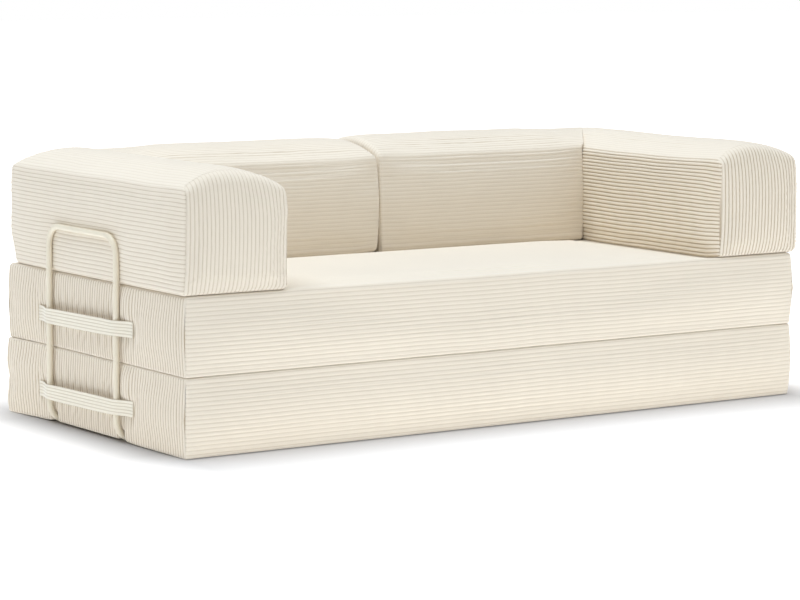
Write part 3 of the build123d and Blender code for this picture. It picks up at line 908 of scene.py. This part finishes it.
def back(side, seed):
    """The bolster behind the left or the right half of the seat."""
    name = f"back_{side}"
    low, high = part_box(f"{name}_cover")
    return Cushion(
        name,
        bolster_sections["back"],
        high.x - low.x,
        BOLSTER_END_BOW,
        ((low.x + high.x) / 2, high.y, low.z),
        ALONG_X_TURNED,
        back_soft(name, seed),
        seed,
        (BACK_RIBS, BACK_END_RIBS),
        lap=back_lap(name),
        lap_end=-1 if side == "left" else 1,
    )


def cushions():
    """The six cushions, each where its solid lies."""
    made = [layer("base", 0), layer("seat", 1)]
    for seed, side in enumerate(("left", "right")):
        made += [arm(side, ARM_SEED + seed), back(side, BACK_SEED + seed)]
    return made


class Nodes:
    """A short way to write a material's nodes."""

    def __init__(self, name, tree=None):
        self.tree = tree
        if tree is None:
            self.material = bpy.data.materials.new(name)
            self.material.use_nodes = True
            self.tree = self.material.node_tree
            self.shader = self.tree.nodes["Principled BSDF"]

    def give(self, socket, value):
        """Links a socket to another node's output, or sets its value."""
        if isinstance(value, bpy.types.NodeSocket):
            self.tree.links.new(value, socket)
        else:
            socket.default_value = value

    def add(self, kind, inputs=None, **settings):
        node = self.tree.nodes.new(f"ShaderNode{kind}")
        for key, value in settings.items():
            setattr(node, key, value)
        for key, value in (inputs or {}).items():
            self.give(node.inputs[key], value)
        return node

    def set(self, **values):
        for key, value in values.items():
            self.give(self.shader.inputs[key.replace("_", " ")], value)

    def math(self, operation, first, second):
        return self.add("Math", {0: first, 1: second}, operation=operation).outputs["Value"]

    def place(self):
        return self.add("TexCoord").outputs["Object"]

    def noise(self, scale, detail, **inputs):
        inputs.update({"Vector": self.place(), "Scale": scale, "Detail": detail})
        return self.add("TexNoise", inputs).outputs["Fac"]

    def spread(self, value, low, high, start=0.0, end=1.0, **settings):
        """A value between start and end, spread from low to high."""
        inputs = {"Value": value, "From Min": start, "From Max": end, "To Min": low, "To Max": high}
        return self.add("MapRange", inputs, **settings).outputs["Result"]

    def shaded(self, colour, shade):
        return self.add("VectorMath", {0: colour, "Scale": shade}, operation="SCALE").outputs["Vector"]

    def bump(self, height, strength, distance):
        inputs = {"Height": height, "Strength": strength, "Distance": distance}
        return self.add("Bump", inputs).outputs["Normal"]


def linear(red, green, blue):
    """A colour written as screen values from 0 to 255."""

    def channel(value):
        share = value / 255
        return share / 12.92 if share <= 0.04045 else ((share + 0.055) / 1.055) ** 2.4

    return (channel(red), channel(green), channel(blue), 1)


def corduroy(name, crest, valley):
    """Ribbed pile cloth: paler crests, valleys darkened partly by the cloth's ground and partly by painted
    shade, brushed pile and a faint unevenness of colour.
    """
    made = Nodes(name)
    cloth = made.add("Attribute", attribute_name="cloth").outputs["Vector"]
    height = made.add("SeparateXYZ", {"Vector": cloth}).outputs["Z"]
    # Painted shade: the share of the darker valley colour comes from the cover's cloth attribute
    crests = made.spread(height, 0.0, 1.0, 0.1, 0.85, interpolation_type="SMOOTHSTEP")
    colour = made.add("Mix", {"Factor": crests, "A": valley, "B": crest}, data_type="RGBA").outputs["Result"]
    wide = made.spread(made.noise(3.2, 3.0), 0.965, 1.03)
    pile = made.noise(900.0, 4.0, Roughness=0.7)
    shade = made.math("MULTIPLY", wide, made.spread(pile, 0.9, 1.08))
    made.set(
        Base_Color=made.shaded(colour, shade),
        Roughness=0.92,
        Normal=made.bump(pile, 0.35, 0.5 * MM),
        Sheen_Weight=0.4,
        Sheen_Roughness=0.4,
        Specular_IOR_Level=0.2,
    )
    return made.material


def held_points(name, points):
    """Which points of a cushion's cover lie on the floor or against another piece, and so don't swell."""
    others = [f"{other}_cover" for other in CUSHION_NAMES if other != name]
    others += [f"{name}_zip"]
    for frame_name in FRAME_NAMES:
        others += [f"frame_{frame_name}_tube", f"strap_{frame_name}_lower", f"strap_{frame_name}_upper"]
    held = points[:, 2] < SIM_CLEAR
    for other in others:
        low, high = (np.array(corner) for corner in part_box(other))
        held |= ((points > low - SIM_CLEAR) & (points < high + SIM_CLEAR)).all(axis=1)
    return held


def positions(mesh):
    flat = np.empty(3 * len(mesh.vertices), np.float32)
    mesh.vertices.foreach_get("co", flat)
    return flat.reshape(-1, 3).astype(float)


def swollen(name, piece):
    """How far a coarse copy of the cover moves under pressure: its points, and their moves."""
    coarse = bpy.data.objects.new(f"{name}_coarse", piece.data.copy())
    bpy.context.scene.collection.objects.link(coarse)
    remesh = coarse.modifiers.new("remesh", "REMESH")
    remesh.mode = "VOXEL"
    remesh.voxel_size = SIM_VOXEL
    graph = bpy.context.evaluated_depsgraph_get()
    coarse.data = bpy.data.meshes.new_from_object(coarse.evaluated_get(graph))
    coarse.modifiers.clear()
    start = positions(coarse.data)
    group = coarse.vertex_groups.new(name="held")
    group.add(np.flatnonzero(held_points(name, start)).tolist(), 1.0, "REPLACE")
    cloth = coarse.modifiers.new("cloth", "CLOTH")
    settings = cloth.settings
    settings.vertex_group_mass = "held"
    settings.use_pressure = True
    settings.uniform_pressure_force = SIM_PRESSURE
    settings.shrink_min = SIM_SLACK
    settings.effector_weights.gravity = 0
    cloth.point_cache.frame_end = SIM_FRAMES
    for step in range(1, SIM_FRAMES + 1):
        bpy.context.scene.frame_set(step)
    graph = bpy.context.evaluated_depsgraph_get()
    moved = positions(coarse.evaluated_get(graph).data) - start
    bpy.data.objects.remove(coarse)
    bpy.context.scene.frame_set(1)
    far = np.linalg.norm(moved, axis=1, keepdims=True)
    return start, moved * np.minimum(1, SIM_CAP / np.maximum(far, SIM_CAP / 100))


def swell(name, piece):
    """Runs the cloth simulation of a cover and carries its moves over to the ribbed mesh."""
    start, moved = swollen(name, piece)
    tree = KDTree(len(start))
    for index, point in enumerate(start):
        tree.insert(point, index)
    tree.balance()
    fine = positions(piece.data)
    for index, point in enumerate(fine):
        found = tree.find_n(point, SIM_NEAREST)
        weights = np.array([1 / (distance + SIM_VOXEL / 4) for _, _, distance in found])
        fine[index] += weights @ moved[[near for _, near, _ in found]] / weights.sum()
    piece.data.vertices.foreach_set("co", fine.astype(np.float32).ravel())
    piece.data.update()


def build_covers(cover_cloth):
    """The six ribbed covers, each for its cushion's cover and core."""
    for cushion in cushions():
        piece = cushion.build()
        piece.data.materials.append(cover_cloth)
        swell(cushion.name, piece)
        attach(piece, cushion.name)
        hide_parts(f"{cushion.name}_cover", f"{cushion.name}_foam_core")


class Batch:
    """Points, faces, cloth places and material numbers of a piece made of many small solids."""

    def __init__(self):
        self.points, self.faces, self.cloth, self.materials = [], [], [], []

    def add(self, points, faces, cloth=None, material=0):
        first = len(self.points)
        points = [tuple(point) for point in points]
        self.points += points
        self.faces += [tuple(first + corner for corner in face) for face in faces]
        self.cloth += [tuple(place) for place in cloth] if cloth is not None else [(0, 0, 1)] * len(points)
        self.materials += [material] * len(faces)

    def build(self, name, materials, smooth_shading=True):
        piece = mesh_object(name, self.points, self.faces, self.cloth, smooth_shading)
        for material in materials:
            piece.data.materials.append(material)
        piece.data.polygons.foreach_set("material_index", self.materials)
        return piece


def tube_faces(rows, columns):
    """Faces of a closed loop of points carried along rows, with both ends shut."""
    faces = []
    for row in range(rows - 1):
        for column in range(columns):
            here, beside = row * columns + column, row * columns + (column + 1) % columns
            faces.append((here, beside, beside + columns, here + columns))
    last = (rows - 1) * columns
    return faces + [tuple(range(columns))[::-1], tuple(range(last, last + columns))]


def round_bar(start, end, across, radius, sides=6):
    """A short bar with drawn-in ends, such as a stitch or a tooth: its points and faces."""
    start, end, across = (Vector(value) for value in (start, end, across))
    axis = (end - start).normalized()
    other = axis.cross(across).normalized()
    points = []
    for share, size in BAR_SHAPE:
        centre = start.lerp(end, share)
        for side in range(sides):
            turn = 2 * math.pi * side / sides
            points.append(centre + (across * math.cos(turn) + other * math.sin(turn)) * radius * size)
    return points, tube_faces(len(BAR_SHAPE), sides)


def strap_section():
    """A strap's cross-section as heights, thicknesses and wale heights: five wales in front, flat behind."""
    count = STRAP_WALES * POINTS_PER_WALE
    height = np.linspace(-1, 1, count + 1) * STRAP_HEIGHT / 2
    wale = wale_height(np.arange(count + 1))
    front = STRAP_THICKNESS - STRAP_WALE_DEPTH * (1 - wale)
    back = np.linspace(1, -1, 5)[1:-1] * (STRAP_HEIGHT / 2 - STRAP_THICKNESS / 2)
    return (
        np.concatenate([height, back]),
        np.concatenate([front, np.zeros(len(back))]),
        np.concatenate([wale, np.zeros(len(back))]),
    )


def strap_line(place):
    """A strap's inner line from above: how far it is off the face at steps along it."""
    reach = TUBE_RADIUS + TUBE_GAP
    over = 2 * reach
    leg = place.spacing / 2
    foot = leg + reach * math.tan(STRAP_SLOPE / 2) + over / math.tan(STRAP_SLOPE)
    half = foot + STRAP_SEWN_END
    steps = math.ceil(2 * half / STRAP_STEP)
    along = np.linspace(-half, half, steps + 1)
    falling = (foot - np.abs(along)) * math.tan(STRAP_SLOPE)
    blend = STRAP_CREASE
    lower = np.logaddexp(falling / blend, STRAP_SEATED / blend) * blend
    away = -np.logaddexp(-lower / blend, -(over + TUBE_GAP) / blend) * blend
    return along, away


def build_strap(frame_name, level, body, cloth_material, thread):
    """A ribbed strap over a frame's two legs, its folded ends sewn down with two rows of stitches."""
    place = frame_places[frame_name]
    node = f"strap_{frame_name}_{level}"
    low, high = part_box(node)
    along, away = strap_line(place)
    rise = STRAP_RISE_TO_FRONT if frame_name == "left" else 0
    middle_z = (low.z + high.z) / 2 - rise * along / (along[-1] - along[0])
    slope = np.gradient(away, along)
    tilt = np.stack([-slope, np.ones_like(slope)]) / np.hypot(slope, 1)
    height, thick, wale = strap_section()
    from_end = along[-1] - np.abs(along)
    folded = 1 + STRAP_FOLD * (1 - smooth((from_end - STRAP_SEWN_END) / STRAP_STEP))
    gathered = 1 - STRAP_GATHER * np.exp(-(((np.abs(along) - place.spacing / 2) / STRAP_HEIGHT) ** 2))
    offset = thick[None, :] * folded[:, None]
    rows_away = away[:, None] + offset * tilt[1][:, None]
    rows_along = along[:, None] + offset * tilt[0][:, None]
    rows_height = middle_z[:, None] + height[None, :] * gathered[:, None]
    points = place.world(rows_away, rows_along, rows_height)
    # The wale heights carry the painted shade in the strap's valleys
    cloth = np.stack(np.broadcast_arrays(along[:, None], height, wale), axis=-1)
    batch = Batch()
    batch.add(points.reshape(-1, 3), tube_faces(len(along), len(height)), cloth.reshape(-1, 3))
    strap = batch.build(f"{node}_ribbed", [cloth_material])
    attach(strap, body)
    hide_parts(node)

    stitches = Batch()
    surface = STRAP_THICKNESS * (1 + STRAP_FOLD) - STRAP_WALE_DEPTH / 4
    rows = math.floor((STRAP_HEIGHT - STITCH_PITCH) / STITCH_PITCH)
    for end in (-1, 1):
        for inset in (STITCH_PITCH, STRAP_SEWN_END - STITCH_PITCH):
            line_along = end * (along[-1] - inset)
            line_away = np.interp(line_along, along, away) + surface
            line_middle = middle_z[0 if end < 0 else -1]
            for row in range(rows):
                start = line_middle + (row - (rows - 1) / 2) * STITCH_PITCH - STITCH_LENGTH / 2
                ends = [place.world(line_away, line_along, z) for z in (start, start + STITCH_LENGTH)]
                stitches.add(*round_bar(*ends, place.outward, STITCH_WIDTH / 2))
    sewing = stitches.build(f"{node}_stitches", [thread])
    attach(sewing, body)


def build_zip(name, tape_cloth, coil):
    """A zip's tape with its row of coil teeth, in the slot of its cover."""
    low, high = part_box(f"{name}_zip")
    batch = Batch()
    tape_high = low.y + TAPE_THICKNESS
    corners = [(x, y, z) for x in (low.x, high.x) for y in (low.y, tape_high) for z in (low.z, high.z)]
    box_faces = [(0, 1, 3, 2), (4, 6, 7, 5), (0, 4, 5, 1), (2, 3, 7, 6), (0, 2, 6, 4), (1, 5, 7, 3)]
    batch.add(corners, box_faces)
    middle_z = (low.z + high.z) / 2
    middle_y = (tape_high + high.y) / 2
    thick = high.y - tape_high
    teeth = math.floor((high.x - low.x) / TOOTH_PITCH)
    for tooth in range(teeth):
        x = low.x + (tooth + 0.5) * TOOTH_PITCH
        for side in (-1, 1):
            shifted = x + side * TOOTH_PITCH / 4
            heights = middle_z - side * TOOTH_OVERLAP, middle_z + side * CHAIN_HEIGHT / 2
            ends = [(shifted, middle_y, z) for z in heights]
            batch.add(*round_bar(*ends, (0, 1, 0), thick / 2, sides=4), material=1)
    piece = batch.build(f"{name}_zip_tape_and_teeth", [tape_cloth, coil], smooth_shading=False)
    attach(piece, name)
    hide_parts(f"{name}_zip")


def build_hinge_cloth(cloth_material):
    """The cloth web in the front crease, folded between the layers and joined to both."""
    low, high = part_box("fold_hinge_strip")
    face = FRONT_Y + MATTRESS_BOW
    middle_z = (low.z + high.z) / 2
    tip, root = face + HINGE_TIP, face + HINGE_ROOT
    turns = np.linspace(-1, 1, HINGE_POINTS)
    across = root - (root - tip) * np.cos(turns * math.pi / 2) ** HINGE_FULLNESS
    height = middle_z + HINGE_RISE * turns
    length = high.x - low.x
    columns = math.ceil(length / ROW_SPACING)
    along = np.linspace(low.x, high.x, columns + 1)
    points, cloth = [], []
    for x in along:
        for thickness in (0, HINGE_THICKNESS):
            order = range(HINGE_POINTS) if thickness == 0 else reversed(range(HINGE_POINTS))
            for index in order:
                points.append((x, across[index] - thickness, height[index]))
                cloth.append((x, index * MM, 0.5))
    batch = Batch()
    batch.add(points, tube_faces(len(along), 2 * HINGE_POINTS), cloth)
    strip = batch.build("fold_hinge_cloth", [cloth_material])
    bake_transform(strip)
    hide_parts("fold_hinge_strip")


def sheet_edge(start, end, outward, reach):
    """Points along one edge of the sheet, in and out of the notches for the feet on that side."""
    start, end = Vector(start), Vector(end)
    way = (end - start).normalized()
    inward = -Vector(outward)
    feet = [
        Vector(place.world(0.0, side * place.spacing / 2, 0.0)[:2])
        for place in frame_places.values()
        for side in (-1, 1)
        if tuple(place.outward[:2]) == outward
    ]
    line = [start]
    for foot in sorted(feet, key=lambda foot: foot.dot(way)):
        middle = start + way * (foot - start).dot(way)
        depth = reach - abs((foot - start).dot(inward))
        for shift, deep in ((-1, 0), (-1, 1), (1, 1), (1, 0)):
            line.append(middle + way * shift * NOTCH_HALF + inward * deep * depth)
    return line


def near_notch(point, reach):
    """Whether a point under the base lies in a notch for a foot, or close beside one."""
    for place in frame_places.values():
        away, along = place.local(point)
        if -away < reach + DOT_PITCH / 2 and abs(abs(along) - place.spacing / 2) < NOTCH_HALF + DOT_RADIUS:
            return True
    return False


def build_non_slip_dots(low, high, top, reach, rubber):
    """Rows of rubber dots under the sheet, apart from its notches."""
    dots = Batch()
    for row in np.arange(low.y + DOT_PITCH, high.y - DOT_PITCH / 2, DOT_PITCH):
        for column in np.arange(low.x + DOT_PITCH, high.x - DOT_PITCH / 2, DOT_PITCH):
            if near_notch(np.array((column, row, 0)), reach):
                continue
            ring = [
                (column + radius * math.cos(turn), row + radius * math.sin(turn), height)
                for radius, height in ((DOT_FOOT * DOT_RADIUS, low.z), (DOT_RADIUS, top))
                for turn in np.linspace(0, 2 * math.pi, DOT_SIDES, endpoint=False)
            ]
            dots.add(ring, tube_faces(2, DOT_SIDES))
    return dots.build("base_non_slip_dots", [rubber])


def build_non_slip_sheet(cloth_material, rubber):
    """The thin sheet under the base, notched for the feet, with rows of rubber dots below."""
    low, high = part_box("base_non_slip_sheet")
    sheet_bottom = low.z + DOT_HEIGHT
    reach = foot_reach("left") + FOOT_ROOM
    corners = [(high.x, low.y), (high.x, high.y), (low.x, high.y), (low.x, low.y)]
    outline = []
    for start, end, outward in zip(corners, corners[1:], ((1, 0), (0, 1), (-1, 0))):
        outline += sheet_edge(start, end, outward, reach)
    outline.append(Vector(corners[-1]))
    count = len(outline)
    points = [(point.x, point.y, z) for z in (sheet_bottom, high.z) for point in outline]
    faces = [tuple(range(count))[::-1], tuple(range(count, 2 * count))]
    faces += [(i, (i + 1) % count, count + (i + 1) % count, count + i) for i in range(count)]
    sheet = mesh_object("base_non_slip_cloth", points, faces, smooth_shading=False)
    sheet.data.materials.append(cloth_material)
    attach(sheet, "base")
    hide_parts("base_non_slip_sheet")

    rubber_dots = build_non_slip_dots(low, high, sheet_bottom, reach, rubber)
    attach(rubber_dots, "base")


def woven_cloth(name, colour, scale):
    """Plain woven cloth: two crossed sets of threads."""
    made = Nodes(name)
    inputs = {"Vector": made.place(), "Scale": scale, "Distortion": 0.6}
    threads = [made.add("TexWave", inputs, bands_direction=way).outputs["Fac"] for way in ("X", "Z")]
    made.set(
        Base_Color=made.shaded(colour[:3], made.spread(made.noise(60.0, 5.0), 0.9, 1.06)),
        Roughness=0.9,
        Normal=made.bump(made.math("MAXIMUM", *threads), 0.5, 0.2 * MM),
        Specular_IOR_Level=0.25,
    )
    return made.material


def powder_coat(name, colour, roughness):
    """Satin powder coat: a fine orange peel, faint mottling and slightly polished wear."""
    made = Nodes(name)
    mottle = made.noise(24.0, 4.0)
    made.set(
        Base_Color=made.shaded(colour[:3], made.spread(mottle, 0.94, 1.05)),
        Roughness=made.spread(mottle, roughness - 0.06, roughness + 0.08),
        Normal=made.bump(made.noise(1400.0, 2.0), 0.25, 0.15 * MM),
    )
    return made.material


def moulded_plastic(name, colour, roughness):
    """Moulded plastic or rubber with a fine spark texture."""
    made = Nodes(name)
    grain = made.noise(2200.0, 3.0)
    made.set(
        Base_Color=made.shaded(colour[:3], made.spread(grain, 0.93, 1.05)),
        Roughness=roughness,
        Normal=made.bump(grain, 0.3, 0.1 * MM),
    )
    return made.material


def dress_node(name, material):
    """Gives a node that keeps its solid's shape its material."""
    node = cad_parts[name]
    node.data.materials.clear()
    node.data.materials.append(material)


def add_camera():
    """A long lens from the left front, a little above the arms."""
    yaw, pitch, roll = CAMERA_YAW, CAMERA_PITCH, CAMERA_ROLL
    forward = Vector((math.sin(yaw) * math.cos(pitch), math.cos(yaw) * math.cos(pitch), -math.sin(pitch)))
    right = Vector((math.cos(yaw), -math.sin(yaw), 0))
    up = right.cross(forward)
    rolled_right = right * math.cos(roll) + up * math.sin(roll)
    rolled_up = up * math.cos(roll) - right * math.sin(roll)
    data = bpy.data.cameras.new("camera")
    data.sensor_width = SENSOR_WIDTH
    data.lens = FOCAL_PIXELS / IMAGE_WIDTH * SENSOR_WIDTH
    data.clip_end = 100
    camera = bpy.data.objects.new("camera", data)
    rotation = Matrix((rolled_right, rolled_up, -forward)).transposed()
    camera.matrix_world = Matrix.Translation(CAMERA_PLACE) @ rotation.to_4x4()
    bpy.context.scene.collection.objects.link(camera)
    bpy.context.scene.camera = camera


def seen_directly(made):
    """1 for rays that see the surface straight from the camera, in a mirror or through glass."""
    rays = made.add("LightPath").outputs
    seen = made.math("MAXIMUM", rays["Is Camera Ray"], rays["Is Glossy Ray"])
    return made.math("MAXIMUM", seen, rays["Is Transmission Ray"])


def add_floor():
    """A pale floor that keeps the shadow, with a painted shade round the sofa where its glow fades, and turns
    to the white background away from the sofa.
    """
    half = FLOOR_SIZE / 2
    corners = [(-half, -half, 0), (half, -half, 0), (half, half, 0), (-half, half, 0)]
    floor = mesh_object("floor", corners, [(0, 1, 2, 3)], smooth_shading=False)
    made = Nodes("floor_white")
    place = made.add("NewGeometry").outputs["Position"]
    middle = made.add("VectorMath", {0: place, 1: (0, MIDDLE_Y, 0)}, operation="SUBTRACT").outputs["Vector"]
    mirrored = made.add("VectorMath", {0: middle}, operation="ABSOLUTE").outputs["Vector"]
    footprint = (END_X, MATTRESS_DEPTH / 2, 0)
    beyond = made.add("VectorMath", {0: mirrored, 1: footprint}, operation="SUBTRACT").outputs["Vector"]
    away = made.add("SeparateXYZ", {"Vector": beyond}).outputs
    # Painted shade: the camera's glow fades to nothing at the sofa's footprint over these distances,
    # darkening the floor round it on top of its real shadow
    sideways = made.spread(away["X"], 1.0, 0.0, 0.0, LIFT_SIDE)
    forwards = made.spread(away["Y"], 1.0, 0.0, -LIFT_BEFORE_FRONT, LIFT_FRONT)
    seen = seen_directly(made)
    lift = made.math("MULTIPLY", seen, made.math("SUBTRACT", 1.0, made.math("MULTIPLY", sideways, forwards)))
    colour = made.add("Mix", {"Factor": seen, "A": FLOOR_COLOUR, "B": FLOOR_SEEN_COLOUR}, data_type="RGBA")
    made.set(Base_Color=colour.outputs["Result"], Roughness=1.0, Specular_IOR_Level=0)
    glow = made.add("Emission", {"Strength": lift}).outputs["Emission"]
    both = made.add("AddShader", {0: made.shader.outputs["BSDF"], 1: glow}).outputs["Shader"]
    made.give(made.tree.nodes["Material Output"].inputs["Surface"], both)
    floor.data.materials.append(made.material)


def add_world():
    """White behind everything, and an even soft light from all round."""
    world = bpy.data.worlds.new("studio")
    world.use_nodes = True
    bpy.context.scene.world = world
    made = Nodes(None, world.node_tree)
    background = made.tree.nodes["Background"]
    background.inputs["Color"].default_value = (1, 1, 1, 1)
    made.give(background.inputs["Strength"], made.spread(seen_directly(made), WORLD_STRENGTH, 1.0))


def add_lamp(name, place, target, size, power, colour=(1, 1, 1)):
    """A soft box, which the camera doesn't see."""
    data = bpy.data.lights.new(name, "AREA")
    data.shape = "RECTANGLE"
    data.size, data.size_y = size
    data.energy = power
    data.color = colour
    lamp = bpy.data.objects.new(name, data)
    lamp.location = place
    lamp.rotation_mode = "QUATERNION"
    lamp.rotation_quaternion = (Vector(target) - Vector(place)).to_track_quat("-Z", "Y")
    lamp.visible_camera = False
    bpy.context.scene.collection.objects.link(lamp)


def add_bounce():
    """Light that comes back off the studio's floor, from all round the sofa but not from under it."""
    inner_x, inner_y = END_X + BOUNCE_CLEARANCE, MATTRESS_DEPTH / 2 + BOUNCE_CLEARANCE
    strip_x, strip_y = BOUNCE_HALF_LENGTH - inner_x, BOUNCE_HALF_DEPTH - inner_y
    end_x, end_size = inner_x + strip_x / 2, (strip_x, 2 * BOUNCE_HALF_DEPTH)
    long_y, long_size = inner_y + strip_y / 2, (2 * inner_x, strip_y)
    for name, place, size, strength in (
        ("bounce_left", (-end_x, 0), end_size, BOUNCE_LEFT),
        ("bounce_right", (end_x, 0), end_size, BOUNCE_RIGHT),
        ("bounce_front", (0, MIDDLE_Y - long_y), long_size, BOUNCE_FRONT),
        ("bounce_rear", (0, MIDDLE_Y + long_y), long_size, BOUNCE_REAR),
    ):
        power = strength * size[0] * size[1]
        add_lamp(name, (*place, BOUNCE_HEIGHT), (*place, 1), size, power)


# Crest and valley colours of the corduroy: the valleys' darker colour is partly the cloth's ground and partly
# painted shade
cover_cloth = corduroy("corduroy_cream", linear(241, 230, 212), linear(196, 177, 150))
strap_cloth = corduroy("corduroy_strap", linear(245, 237, 219), linear(219, 207, 186))
thread = woven_cloth("sewing_thread", linear(240, 234, 220), 900.0)
tape_cloth = woven_cloth("zip_tape_cloth", linear(226, 218, 200), 500.0)
hinge_web = woven_cloth("hinge_web", linear(226, 219, 203), 420.0)
sheet_cloth = woven_cloth("non_slip_web", linear(74, 74, 77), 300.0)
coil_nylon = moulded_plastic("zip_coil_nylon", linear(222, 213, 194), 0.38)
cap_plastic = moulded_plastic("cap_moulding", linear(205, 197, 180), 0.45)
dot_rubber = moulded_plastic("dot_rubber", linear(60, 60, 62), 0.7)
frame_coat = powder_coat("frame_powder_coat", linear(234, 224, 202), 0.34)
zip_enamel = powder_coat("zip_enamel", linear(218, 209, 190), 0.3)

build_covers(cover_cloth)
for frame_name in FRAME_NAMES:
    build_strap(frame_name, "lower", "base", strap_cloth, thread)
    build_strap(frame_name, "upper", "seat", strap_cloth, thread)
    dress_node(f"frame_{frame_name}_tube", frame_coat)
    dress_node(f"frame_{frame_name}_end_caps", cap_plastic)
for cushion_name in CUSHION_NAMES:
    build_zip(cushion_name, tape_cloth, coil_nylon)
    dress_node(f"{cushion_name}_zip_slider", zip_enamel)
    dress_node(f"{cushion_name}_zip_pull", zip_enamel)
build_hinge_cloth(hinge_web)
build_non_slip_sheet(sheet_cloth, dot_rubber)

add_camera()
add_floor()
add_world()
add_lamp("overhead", OVERHEAD_PLACE, (*OVERHEAD_PLACE[:2], 0), OVERHEAD_SIZE, OVERHEAD_POWER, OVERHEAD_TINT)
add_bounce()
bpy.context.scene.view_settings.view_transform = "Standard"
